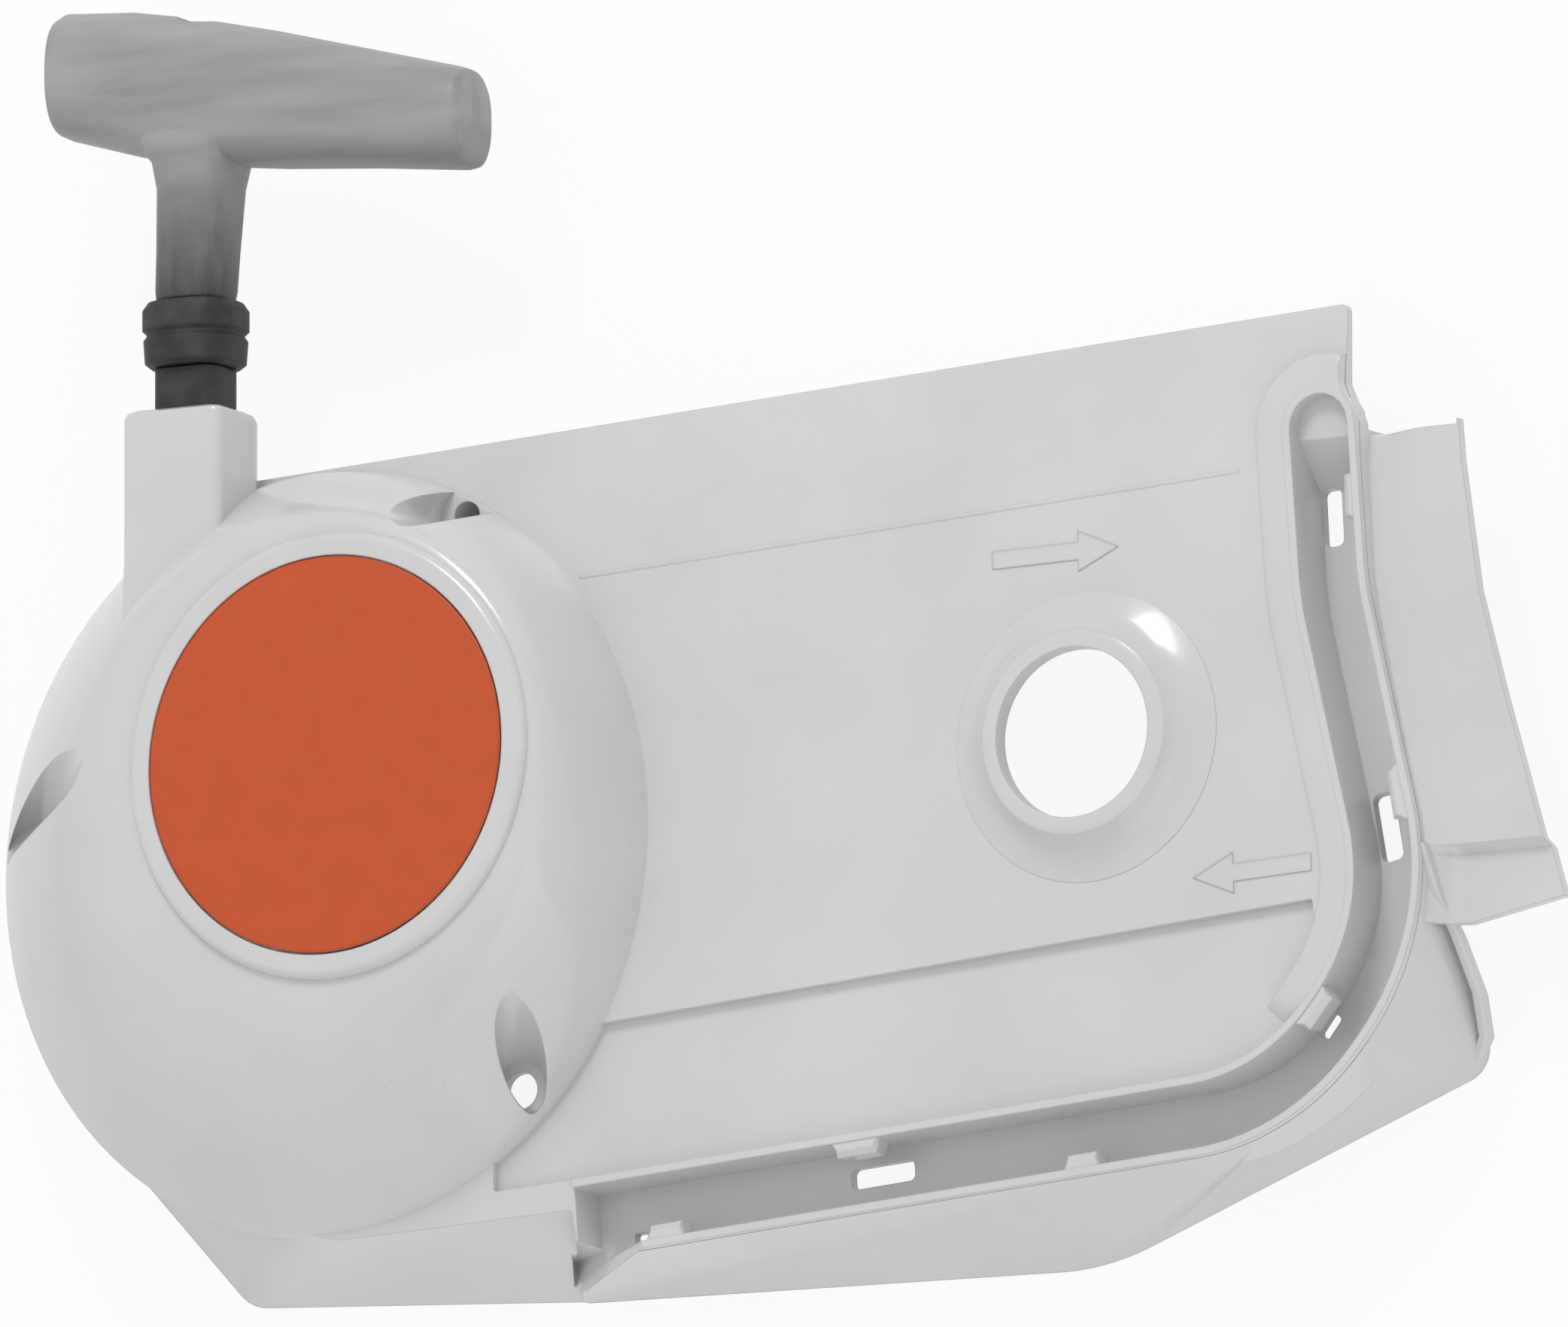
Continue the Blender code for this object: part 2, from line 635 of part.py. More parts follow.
def make_housing():
    outer_half = GROOVE_WIDTH / 2.0 + LIP_THICKNESS
    housing = plate_block("housing", 0.0, 0.0)
    cut_shell(housing, prism("ledge", ledge_outline(0.0), -LEDGE_RECESS, 0.001), strip_slope("slope", 0.0))
    lip = channel_outline(GROOVE_PATH, outer_half - 0.0001)
    berm_path = [GROOVE_PATH[2], *GROOVE_PATH[3:]]
    berm_low = channel_outline(berm_path, outer_half + BERM_WIDTH)
    berm_high = channel_outline(berm_path, outer_half - 0.0001)
    berm = loft("berm", [
        [(x, y, -LEDGE_RECESS - 0.0003) for x, y in berm_low],
        [(x, y, LIP_RISE - 0.0001) for x, y in berm_high],
    ])
    boolean(berm, prism("berm_limit", rounded(moved_path(plate_corners("face"), 0.0001, closed=True)), -0.01, 0.01), "INTERSECT", "MANIFOLD")
    add_shell(housing, berm, prism("lip", lip, -GROOVE_DEPTH, LIP_RISE))
    cone = [
        (0.0, -0.0010),
        (COLLAR_FOOT_RADIUS, -0.0010),
        (COLLAR_FOOT_RADIUS, 0.0001),
        (COLLAR_FOOT_RADIUS - 0.0038, 0.22 * COLLAR_RISE),
        (COLLAR_FOOT_RADIUS - 0.0068, 0.60 * COLLAR_RISE),
        (HOLE_RADIUS + 0.0030, 0.92 * COLLAR_RISE),
        (HOLE_RADIUS + 0.0018, COLLAR_RISE),
        (0.0, COLLAR_RISE),
    ]
    add_shell(housing, turned("collar", cone, (HOLE_X, HOLE_Y)))
    add_shell(housing, flange_body(), corner_lip())
    add_shell(housing, dome_block("dome", 0.0, 0.0), tower_block())

    hollow = plate_block("hollow", WALL, -WALL)
    cut_shell(hollow, prism("ledge_floor", ledge_outline(WALL), -LEDGE_RECESS - WALL, 0.001), strip_slope("slope_floor", WALL))
    add_shell(hollow, dome_block("dome_hollow", WALL, 0.0012))
    cut_shell(
        hollow,
        prism("groove_floor", channel_outline(GROOVE_PATH, GROOVE_WIDTH / 2.0 + WALL, WALL), -GROOVE_DEPTH - WALL, 0.001),
    )
    for upper, lower, floor in pocket_places():
        wall = pocket_outline(upper, lower, POCKET_RADIUS + WALL)
        cut_shell(hollow, prism("pocket_wall", wall, floor - WALL, 0.05))
    cut_shell(hollow, cylinder("post_boss", POST_BOSS_RADIUS, ceiling() - POST_BOSS_DEPTH, 0.05))
    under = [
        (0.0, -0.0030),
        (COLLAR_FOOT_RADIUS - 0.0030, -0.0030),
        (COLLAR_FOOT_RADIUS - 0.0060, 0.22 * COLLAR_RISE - 0.0016),
        (COLLAR_FOOT_RADIUS - 0.0092, 0.60 * COLLAR_RISE - 0.0008),
        (0.0, 0.60 * COLLAR_RISE - 0.0008),
    ]
    add_shell(hollow, turned("collar_hollow", under, (HOLE_X, HOLE_Y)))
    cut_shell(hollow, cylinder("hole_wall", HOLE_RADIUS + WALL * 0.9, -0.0010, 0.05, (HOLE_X, HOLE_Y)))
    cut_shell(housing, hollow)
    cut_shell(housing, *tower_hollows())
    cut_shell(housing, prism("groove", channel_outline(GROOVE_PATH, GROOVE_WIDTH / 2.0), -GROOVE_DEPTH, 0.01))
    cut_shell(housing, *groove_slots())
    for upper, lower, floor in pocket_places():
        cut_shell(housing, prism("pocket", pocket_outline(upper, lower, POCKET_RADIUS), floor, 0.05))
        cut_shell(housing, cylinder("screw_hole", SCREW_HOLE_RADIUS, -0.01, 0.03, lower, steps=20))
    cut_shell(housing, cylinder("hole", HOLE_RADIUS, -0.02, 0.03, (HOLE_X, HOLE_Y)))
    top = DOME_FLANK_RISE + BOSS_RISE
    cut_shell(housing, cylinder("disc_recess", DISC_RADIUS + GAP, top - DISC_RECESS, top + 0.01))
    cut_shell(housing, cylinder("post_socket", POST_RADIUS + GAP, 0.0, ceiling() + 0.0010, steps=28))
    return housing


def make_badge_disc():
    low = DOME_FLANK_RISE + BOSS_RISE - DISC_RECESS + GAP / 3.0
    profile = [
        (0.0, low),
        (DISC_RADIUS, low),
        (DISC_RADIUS, low + DISC_THICKNESS * 0.7),
        (DISC_RADIUS - 0.0004, low + DISC_THICKNESS),
        (0.0, low + DISC_THICKNESS),
    ]
    return turned("badge_disc", profile)


def make_rope_bush():
    """A flanged eyelet whose body passes down through the tower's mouth floor."""
    top = mouth_floor_top() + GAP + BUSH_FLANGE
    bottom = mouth_floor_top() - MOUTH_FLOOR - 0.0012
    flange_low = mouth_floor_top() + GAP
    profile = [
        (BUSH_BORE_RADIUS, bottom + 0.0006),
        (BUSH_BORE_RADIUS + 0.0006, bottom),
        (BUSH_BODY_RADIUS, bottom),
        (BUSH_BODY_RADIUS, flange_low),
        (BUSH_FLANGE_RADIUS, flange_low),
        (BUSH_FLANGE_RADIUS, top - 0.0006),
        (BUSH_FLANGE_RADIUS - 0.0006, top),
        (BUSH_BORE_RADIUS + 0.0008, top),
        (BUSH_BORE_RADIUS, top - 0.0008),
    ]
    return turned("rope_bush", profile, (-ROPE_PITCH_RADIUS, 0.0, rope_height()), axis="Y", steps=24)


def make_starter_post():
    """Turned post with a head groove for the clip."""
    top = ceiling() + 0.0010 - GAP
    clip_top = hub_bottom() - WASHER_THICKNESS - 2.0 * GAP
    clip_low = clip_top - CLIP_THICKNESS - GAP
    end = clip_low - POST_END
    neck = POST_RADIUS - 0.0008
    profile = [
        (0.0, end),
        (POST_RADIUS - 0.0004, end),
        (POST_RADIUS, end + 0.0004),
        (POST_RADIUS, clip_low),
        (neck, clip_low),
        (neck, clip_top),
        (POST_RADIUS, clip_top),
        (POST_RADIUS, top),
        (0.0, top),
    ]
    return turned("starter_post", profile, steps=28)


def make_spring_case():
    """Shallow cup, open towards the rotor, that holds the spring against the dome."""
    top = spring_top()
    bottom = case_bottom()
    outer = SPRING_CASE_RADIUS
    inner = POST_BOSS_RADIUS + 0.0015
    profile = [
        (POST_RADIUS + 2.0 * GAP, top - SPRING_CASE_WALL),
        (outer - SPRING_CASE_WALL, top - SPRING_CASE_WALL),
        (outer - SPRING_CASE_WALL, bottom),
        (outer, bottom),
        (outer, top),
        (POST_RADIUS + 2.0 * GAP, top),
    ]
    case = turned("spring_case", profile, steps=INNER_STEPS)
    lug = prism("lug", [(outer - 0.002, -0.003), (outer + 0.0035, -0.003), (outer + 0.0035, 0.003), (outer - 0.002, 0.003)], bottom, bottom + 0.0015)
    for angle in (0.5, 2.3, 4.4):
        copy = lug.copy()
        copy.data = lug.data.copy()
        copy.data.transform(Matrix.Rotation(angle, 4, "Z"))
        bpy.context.collection.objects.link(copy)
        add(case, copy)
    bpy.data.objects.remove(lug, do_unlink=True)
    return case


def make_spring_cover():
    """Thin washer between the spring and the rotor."""
    top = case_bottom() - GAP
    low = top - SPRING_CASE_WALL * 0.6
    profile = [
        (HUB_RADIUS + GAP, low),
        (SPRING_CASE_RADIUS - 0.0005, low),
        (SPRING_CASE_RADIUS - 0.0005, top),
        (HUB_RADIUS + GAP, top),
    ]
    return turned("spring_cover", profile, steps=INNER_STEPS)


def make_recoil_spring():
    """Flat spiral strip, wound from its inner eye to its outer hook."""
    low = case_bottom() + GAP
    high = low + SPRING_HEIGHT
    steps_per_turn = 16
    total = SPRING_TURNS * steps_per_turn
    sections = []
    for step in range(total + 1):
        angle = 2.0 * math.pi * step / steps_per_turn
        radius = SPRING_INNER_RADIUS + SPRING_PITCH * step / steps_per_turn
        ring = []
        for reach, height in ((0.0, low), (SPRING_STRIP, low), (SPRING_STRIP, high), (0.0, high)):
            ring.append(((radius + reach) * math.cos(angle), (radius + reach) * math.sin(angle), height))
        sections.append(ring)
    return loft("recoil_spring", sections)


def make_rope_rotor():
    top = rotor_top()
    bottom = rotor_bottom()
    slot_top = top - ROTOR_FLANGE
    slot_low = bottom + ROTOR_FLANGE
    bore = POST_RADIUS + RUNNING_CLEARANCE
    hub_top = spring_top() - SPRING_CASE_WALL - GAP
    well_outer = ROPE_CORE_RADIUS - WALL
    well_inner = HUB_RADIUS + 0.0016
    profile = [
        (bore, hub_bottom()),
        (HUB_RADIUS - 0.0012, hub_bottom()),
        (HUB_RADIUS, hub_bottom() + 0.0012),
        (HUB_RADIUS, bottom + 0.0006),
        (well_inner, bottom),
        (well_inner, bottom + ROTOR_WELL_DEPTH),
        (well_outer, bottom + ROTOR_WELL_DEPTH),
        (well_outer, bottom),
        (ROTOR_RADIUS, bottom),
        (ROTOR_RADIUS, slot_low - 0.0004),
        (ROPE_CORE_RADIUS, slot_low),
        (ROPE_CORE_RADIUS, slot_top),
        (ROTOR_RADIUS, slot_top + 0.0004),
        (ROTOR_RADIUS, top),
        (HUB_RADIUS, top),
        (HUB_RADIUS, hub_top),
        (bore, hub_top),
    ]
    rotor = turned("rope_rotor", profile, steps=ROUND_STEPS)
    half = WALL * 0.45
    for i in range(ROTOR_RIBS):
        angle = 2.0 * math.pi * (i + 0.5) / ROTOR_RIBS
        if i == 0:
            continue
        corners = [(well_inner - 0.0005, -half), (well_outer + 0.0005, -half), (well_outer + 0.0005, half), (well_inner - 0.0005, half)]
        turned_corners = [
            (x * math.cos(angle) - y * math.sin(angle), x * math.sin(angle) + y * math.cos(angle)) for x, y in corners
        ]
        add(rotor, prism("rib", turned_corners, bottom + 0.0008, bottom + ROTOR_WELL_DEPTH + 0.0005))
    floor = bottom + 0.0004
    seat = cylinder("pawl_seat", PAWL_PIN_RADIUS + 0.0035, floor - 0.0002, bottom + ROTOR_WELL_DEPTH + 0.0005, pawl_pivot(), 24)
    add(rotor, seat)
    pin_end = floor - PAWL_THICKNESS - 0.0010
    add(rotor, cylinder("pawl_pin", PAWL_PIN_RADIUS, pin_end, floor + 0.001, pawl_pivot(), 20))
    return rotor


def pawl_pivot():
    return (PAWL_PIVOT_RADIUS, 0.0)


def make_pawl():
    """Hooked pawl that lies along the rotor and swings outwards on its pin."""
    x, y = pawl_pivot()
    eye = PAWL_PIN_RADIUS + 0.0026
    top = rotor_bottom() + 0.0002 - GAP
    low = top - PAWL_THICKNESS
    outline = rounded([
        (x - eye, y - eye, 0.0030),
        (x + eye, y - eye, 0.0030),
        (x + eye + 0.0006, y + PAWL_LENGTH * 0.55, 0.0100),
        (x + eye - 0.0030, y + PAWL_LENGTH, 0.0006),
        (x + eye - 0.0068, y + PAWL_LENGTH - 0.0012, 0.0010),
        (x - eye + 0.0022, y + PAWL_LENGTH * 0.50, 0.0060),
    ])
    pawl = prism("pawl", outline, low, top)
    cut(pawl, cylinder("eye", PAWL_PIN_RADIUS + RUNNING_CLEARANCE, low - 0.001, top + 0.001, (x, y), 28))
    return pawl


def make_pawl_spring():
    """Bent wire that sits on the pawl's pin side and presses the pawl inwards."""
    x, y = pawl_pivot()
    height = rotor_bottom() - PAWL_THICKNESS - 0.0006 - PAWL_SPRING_RADIUS
    curve = bpy.data.curves.new("pawl_spring", "CURVE")
    curve.dimensions = "3D"
    curve.bevel_depth = PAWL_SPRING_RADIUS
    curve.bevel_resolution = 1
    curve.use_fill_caps = True
    spline = curve.splines.new("POLY")
    ring = PAWL_PIN_RADIUS + PAWL_SPRING_RADIUS + GAP
    points = [(x - ring - 0.0004 * t, y + PAWL_LENGTH * 0.8 * (1.0 - t), height) for t in (0.0, 0.5, 0.9)]
    for step in range(13):
        angle = math.pi + math.pi * 1.35 * step / 12
        points.append((x + ring * math.cos(angle), y + ring * math.sin(angle), height))
    last = points[-1]
    points.append((last[0] + 0.0050, last[1] + 0.0060, height))
    spline.points.add(len(points) - 1)
    for point, place in zip(spline.points, points):
        point.co = (*place, 1.0)
    guide = bpy.data.objects.new("pawl_spring_guide", curve)
    bpy.context.collection.objects.link(guide)
    bpy.context.view_layer.update()
    mesh = bpy.data.meshes.new_from_object(guide.evaluated_get(bpy.context.evaluated_depsgraph_get()))
    bpy.data.objects.remove(guide, do_unlink=True)
    obj = bpy.data.objects.new("pawl_spring", mesh)
    bpy.context.collection.objects.link(obj)
    return obj


def make_rotor_washer():
    top = hub_bottom() - GAP
    profile = [
        (POST_RADIUS + GAP, top - WASHER_THICKNESS),
        (WASHER_RADIUS, top - WASHER_THICKNESS),
        (WASHER_RADIUS, top),
        (POST_RADIUS + GAP, top),
    ]
    return turned("rotor_washer", profile, steps=32)


def make_retaining_clip():
    """Open clip in the post's groove, with three inner teeth."""
    top = hub_bottom() - WASHER_THICKNESS - 2.0 * GAP - GAP * 0.5
    low = top - CLIP_THICKNESS + GAP
    neck = POST_RADIUS - 0.0008 + GAP
    clip = cylinder("retaining_clip", CLIP_RADIUS, low, top, steps=32)
    cut_shell(clip, cylinder("inside", POST_RADIUS + 0.0012, low - 0.001, top + 0.001, steps=32))
    for angle in (math.pi / 2.0, math.pi * 7.0 / 6.0, math.pi * 11.0 / 6.0):
        reach = POST_RADIUS + 0.0018
        corners = [(neck - 0.0002, -0.0012), (reach, -0.0018), (reach, 0.0018), (neck - 0.0002, 0.0012)]
        outline = [(x * math.cos(angle) - y * math.sin(angle), x * math.sin(angle) + y * math.cos(angle)) for x, y in corners]
        add_shell(clip, prism("tooth", outline, low, top))
    cut_shell(clip, cylinder("neck", neck, low - 0.001, top + 0.001, steps=32))
    gap_outline = [(-0.0030, 0.0), (-0.0045, -0.012), (0.0045, -0.012), (0.0030, 0.0)]
    cut_shell(clip, prism("opening", [(x, y - POST_RADIUS * 0.9) for x, y in gap_outline], low - 0.001, top + 0.001))
    return clip


def make_rope_coil():
    """Rope wound in the rotor's slot, as one ring with a rounded outer face."""
    low = rotor_bottom() + ROTOR_FLANGE + GAP
    high = rotor_top() - ROTOR_FLANGE - GAP
    outer = ROPE_PITCH_RADIUS - ROPE_RADIUS - GAP
    inner = ROPE_CORE_RADIUS + GAP
    middle = (low + high) / 2.0
    rows = 2
    profile = [(inner, low), (outer - 0.0006, low)]
    for row in range(rows):
        centre = low + (high - low) * (row + 0.5) / rows
        profile.append((outer, centre))
        if row < rows - 1:
            profile.append((outer - 0.0007, middle))
    profile += [(outer - 0.0006, high), (inner, high)]
    return turned("rope_coil", profile, steps=INNER_STEPS)


def make_rope_run():
    """The straight run from the rotor's rim, through the tower and up into the handle."""
    end = GRIP_CENTRE + TOWER_TOP + 0.0006
    profile = [(0.0, 0.0), (ROPE_RADIUS, 0.0), (ROPE_RADIUS, end), (0.0, end)]
    return turned("rope_run", profile, (-ROPE_PITCH_RADIUS, 0.0, rope_height()), axis="Y", steps=16)


def handle_section(y, half_x, half_z, shift=0.0, steps=24, power=2.6):
    """A soft-cornered section of the handle's stem, across the rope."""
    points = []
    for i in range(steps):
        angle = 2.0 * math.pi * i / steps
        c, s = math.cos(angle), math.sin(angle)
        x = half_x * math.copysign(abs(c) ** (2.0 / power), c)
        z = half_z * math.copysign(abs(s) ** (2.0 / power), s)
        points.append((-ROPE_PITCH_RADIUS + shift + x, y, rope_height() + z))
    return points


def bar_section(x, centre_y, half_y, half_z, steps=24, power=2.5):
    """A soft-cornered section of the handle's cross bar."""
    points = []
    for i in range(steps):
        angle = 2.0 * math.pi * i / steps
        c, s = math.cos(angle), math.sin(angle)
        y = half_y * math.copysign(abs(c) ** (2.0 / power), c)
        z = half_z * math.copysign(abs(s) ** (2.0 / power), s)
        points.append((-ROPE_PITCH_RADIUS + x, centre_y + y, rope_height() + z))
    return points


def insert_bottom():
    return mouth_floor_top() + GAP + BUSH_FLANGE + GAP


def collar_bottom():
    return TOWER_TOP + INSERT_SHOWN


def collar_top():
    return collar_bottom() + COLLAR_HEIGHT


def bar_middle():
    return TOWER_TOP + GRIP_CENTRE


def rope_bore(name, low, high):
    profile = [(0.0, low), (ROPE_RADIUS + GAP, low), (ROPE_RADIUS + GAP, high), (0.0, high)]
    return turned(name, profile, (-ROPE_PITCH_RADIUS, 0.0, rope_height()), axis="Y", steps=16)


def make_grip():
    """Cross bar that droops to the right, on a stem that flares into it."""
    middle = bar_middle()
    half = GRIP_HEIGHT / 2.0
    deep = GRIP_DEPTH / 2.0
    left, right = -GRIP_LENGTH_LEFT, GRIP_LENGTH_RIGHT
    bar_rows = [
        (left, middle + 0.0050, half * 0.62, deep * 0.62),
        (left + 0.0010, middle + 0.0050, half * 0.78, deep * 0.78),
        (left + 0.0032, middle + 0.0050, half * 0.86, deep * 0.86),
        (left * 0.45, middle + 0.0020, half * 0.98, deep * 0.98),
        (0.0, middle - 0.0005, half, deep),
        (right * 0.30, middle - 0.0034, half * 0.93, deep * 0.97),
        (right * 0.65, middle - 0.0070, half * 0.79, deep * 0.88),
        (right - 0.0030, middle - 0.0102, half * 0.69, deep * 0.80),
        (right - 0.0009, middle - 0.0105, half * 0.62, deep * 0.72),
        (right, middle - 0.0105, half * 0.48, deep * 0.56),
    ]
    grip = loft("grip", [bar_section(*row) for row in bar_rows])
    low = collar_top() + GAP
    stem = STEM_WIDTH / 2.0
    stem_rows = [
        (low, stem * 0.98, deep * 0.86),
        (low + 0.0020, stem * 1.02, deep * 0.90),
        (low + 0.0090, stem * 1.00, deep * 0.90),
        (middle - half - 0.0050, stem * 1.00, deep * 0.90),
        (middle - half, stem * 1.16, deep * 0.93),
        (middle - half + 0.0040, stem * 1.50, deep * 0.92),
        (middle - half * 0.40, stem * 1.60, deep * 0.85),
    ]
    add(grip, loft("stem", [handle_section(*row) for row in stem_rows]), solver="MANIFOLD")
    cut(grip, rope_bore("bore", low - 0.001, middle))
    top = middle + half + 0.003
    pocket = [(0.0, middle - 0.0060), (KNOT_POCKET_RADIUS, middle - 0.0060), (KNOT_POCKET_RADIUS, top), (0.0, top)]
    cut(grip, turned("knot_pocket", pocket, (-ROPE_PITCH_RADIUS, 0.0, rope_height()), axis="Y", steps=20))
    return grip


def make_grip_collar():
    """Two soft bands with a groove between them, under the stem."""
    low = collar_bottom()
    height = COLLAR_HEIGHT
    half = COLLAR_WIDTH / 2.0
    deep = half * 0.92
    rows = [
        (low, half * 0.84, deep * 0.84),
        (low + height * 0.07, half * 0.95, deep * 0.95),
        (low + height * 0.42, half * 0.98, deep * 0.98),
        (low + height * 0.48, half * 0.92, deep * 0.92),
        (low + height * 0.52, half * 0.92, deep * 0.92),
        (low + height * 0.58, half, deep),
        (low + height * 0.88, half, deep),
        (low + height, half * 0.90, deep * 0.90),
    ]
    collar = loft("grip_collar", [handle_section(*row) for row in rows])
    cut(collar, rope_bore("bore", low - 0.001, low + height + 0.001))
    return collar


def make_grip_insert():
    """Narrow nozzle below the collar that seats in the tower's mouth."""
    low = insert_bottom()
    high = collar_bottom() - GAP
    half = INSERT_WIDTH / 2.0
    deep = INSERT_DEPTH / 2.0
    rows = [
        (low, half * 0.90, deep * 0.90),
        (low + 0.0010, half, deep),
        (high, half, deep),
    ]
    insert = loft("grip_insert", [handle_section(*row, power=4.0) for row in rows])
    cut(insert, rope_bore("bore", low - 0.001, high + 0.001))
    return insert


def make_rope_knot():
    """Overhand knot in its pocket on top of the handle, with the rope's short end."""
    low = bar_middle() + 0.0010
    radius = KNOT_RADIUS
    profile = [(0.0, low)]
    for step in range(1, 8):
        angle = math.pi * step / 9
        profile.append((radius * math.sin(angle) + 0.0002, low + radius * (1.0 - math.cos(angle))))
    profile += [(ROPE_RADIUS * 0.95, low + 2.2 * radius), (0.0, low + 2.2 * radius)]
    return turned("rope_knot", profile, (-ROPE_PITCH_RADIUS, 0.0, rope_height()), axis="Y", steps=18)


def main():
    clear_scene()
    cream = make_material("moulded_cover", (0.62, 0.62, 0.63), 0.28)
    orange = make_material("badge_orange", (0.56, 0.10, 0.03), 0.45)
    rubber = make_material("grip_rubber", (0.17, 0.17, 0.17), 0.55)
    dark = make_material("collar_rubber", (0.035, 0.035, 0.037), 0.50)
    nylon = make_material("rotor_nylon", (0.05, 0.05, 0.055), 0.45)
    steel = make_material("spring_steel", (0.42, 0.42, 0.43), 0.35, 1.0)
    rope = make_material("rope_fibre", (0.55, 0.53, 0.50), 0.80)

    root = bpy.data.objects.new("cover_assembly", None)
    bpy.context.collection.objects.link(root)
    pieces = {
        make_housing(): cream,
        make_badge_disc(): orange,
        make_rope_bush(): steel,
        make_starter_post(): steel,
        make_spring_case(): nylon,
        make_spring_cover(): steel,
        make_recoil_spring(): steel,
        make_rotor_washer(): steel,
        make_retaining_clip(): steel,
        make_rope_rotor(): nylon,
        make_rope_coil(): rope,
        make_pawl(): steel,
        make_pawl_spring(): steel,
        make_grip(): rubber,
        make_grip_collar(): dark,
        make_grip_insert(): dark,
        make_rope_knot(): rope,
        make_rope_run(): rope,
    }
    for obj, material in pieces.items():
        finish(obj, material, root)
    bpy.context.view_layer.update()
    corners = [Vector(corner) for obj in pieces for corner in obj.bound_box]
    low = Vector([min(c[i] for c in corners) for i in range(3)])
    high = Vector([max(c[i] for c in corners) for i in range(3)])
    root.location = (-(low.x + high.x) / 2.0, -(low.y + high.y) / 2.0, -low.z)
    bpy.context.view_layer.update()


if __name__ == "__main__":
    main()
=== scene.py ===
"""Recoil starter cover of a blower: moulded cover, handle, rope and drive on a plain white stage."""

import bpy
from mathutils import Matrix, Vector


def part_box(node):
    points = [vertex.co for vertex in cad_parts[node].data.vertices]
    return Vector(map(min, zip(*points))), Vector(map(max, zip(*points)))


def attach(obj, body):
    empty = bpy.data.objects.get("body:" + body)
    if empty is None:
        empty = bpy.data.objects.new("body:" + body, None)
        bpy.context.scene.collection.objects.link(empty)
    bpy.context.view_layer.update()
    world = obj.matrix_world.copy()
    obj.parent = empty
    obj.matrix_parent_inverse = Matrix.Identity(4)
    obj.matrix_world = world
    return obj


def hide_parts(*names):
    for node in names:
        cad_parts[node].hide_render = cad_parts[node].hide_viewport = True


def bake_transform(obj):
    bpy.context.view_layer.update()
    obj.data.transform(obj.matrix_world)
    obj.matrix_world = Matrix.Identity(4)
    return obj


bl_info = {
    "name": "Recoil starter cover",
    "version": (1, 0, 0),
    "blender": (4, 5, 0),
    "location": "3D View > Sidebar > Starter cover",
    "description": "Finishes a recoil starter cover piece by piece, with its stage",
    "category": "Add Mesh",
}

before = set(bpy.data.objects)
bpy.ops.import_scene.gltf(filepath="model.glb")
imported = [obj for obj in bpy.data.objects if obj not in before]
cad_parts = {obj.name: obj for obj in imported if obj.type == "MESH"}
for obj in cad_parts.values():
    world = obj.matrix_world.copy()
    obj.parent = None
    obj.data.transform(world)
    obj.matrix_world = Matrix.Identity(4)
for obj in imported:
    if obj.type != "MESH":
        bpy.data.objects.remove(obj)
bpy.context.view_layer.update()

import math

import bmesh
import bpy
from bpy.props import FloatProperty, FloatVectorProperty, PointerProperty
from bpy.types import Operator, Panel, PropertyGroup
from mathutils import Matrix, Vector

# The rotor's axis in plan, from the rotor's own box
ROTOR_LOW, ROTOR_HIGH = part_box("rope_rotor")
AXIS = Vector(((ROTOR_LOW.x + ROTOR_HIGH.x) / 2, (ROTOR_LOW.y + ROTOR_HIGH.y) / 2, 0.0))

# Height of the plate's face above the rim, and the place of the rotor's axis at that height
FACE_HEIGHT = 0.024
PLACE = Vector((AXIS.x, AXIS.y, FACE_HEIGHT))

# Height of the rope above the plate's face, from the rope's own box
ROPE_LOW, ROPE_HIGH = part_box("rope_run")
ROPE_HEIGHT = (ROPE_LOW.z + ROPE_HIGH.z) / 2 - FACE_HEIGHT

# The camera's axes: to the right, up the picture, and back towards the camera, and what its picture takes in
VIEW_RIGHT = Vector((0.8746, 0.0, -0.4848))
VIEW_UP = Vector((0.0842, 0.9848, 0.1519))
VIEW_BACK = Vector((0.4774, -0.1737, 0.8613))
VIEW_MIDDLE = Vector((-0.0036, -0.0073, 0.0127))
VIEW_WIDTH = 0.2793
SENSOR_WIDTH = 36.0
FAR_CLIP = 100.0

# Distances within which points are one: of a finished piece, and on the axis of a turned body
WELD = 2e-5
POLE_WELD = 1e-7

# Moulding's wall, its running gaps, its skirt and its tightest rounding, in metres
WALL = 0.002
GAP = 0.0003
SKIRT_DEPTH = 0.024
TIGHTEST = 0.0002

# How far a tool runs past the face that it opens, how far it stands clear of a face, and a height above all
OVERRUN = 0.001
CLEAR = 0.01
ABOVE_ALL = 0.05

# Small offset that keeps the faces of joined bodies from lying in one plane
OFFSET = 0.0001

# How finely curves are divided
ARC_STEPS = 6
OUTLINE_STEPS = 14
ROUND_STEPS = 120
CAP_STEPS = 10
HANDLE_STEPS = 48
FLANK_ROWS = 14
EDGE_ROWS = 6
POCKET_STEPS = 48
ROPE_RINGS = 60

# Dome: an egg-shaped foot that runs up to a round boss
DOME_FOOT_X = -0.0144
DOME_FOOT_Y = -0.0126
DOME_FOOT_WIDTH = 0.1317
DOME_FOOT_HEIGHT = 0.1382
DOME_FLANK_RISE = 0.0242
FLANK_FULLNESS = 0.9
BOSS_RADIUS = 0.0404
BOSS_EDGE = 0.0017
BOSS_RISE = 0.0018
BOSS_TOP = DOME_FLANK_RISE + BOSS_RISE
CEILING = BOSS_TOP - 0.0030
HOLLOW_DROP = 0.0012
SKIRT_DRAFT = 0.0010

# Badge disc let into the boss
DISC_RADIUS = 0.0358
DISC_RECESS = 0.0010

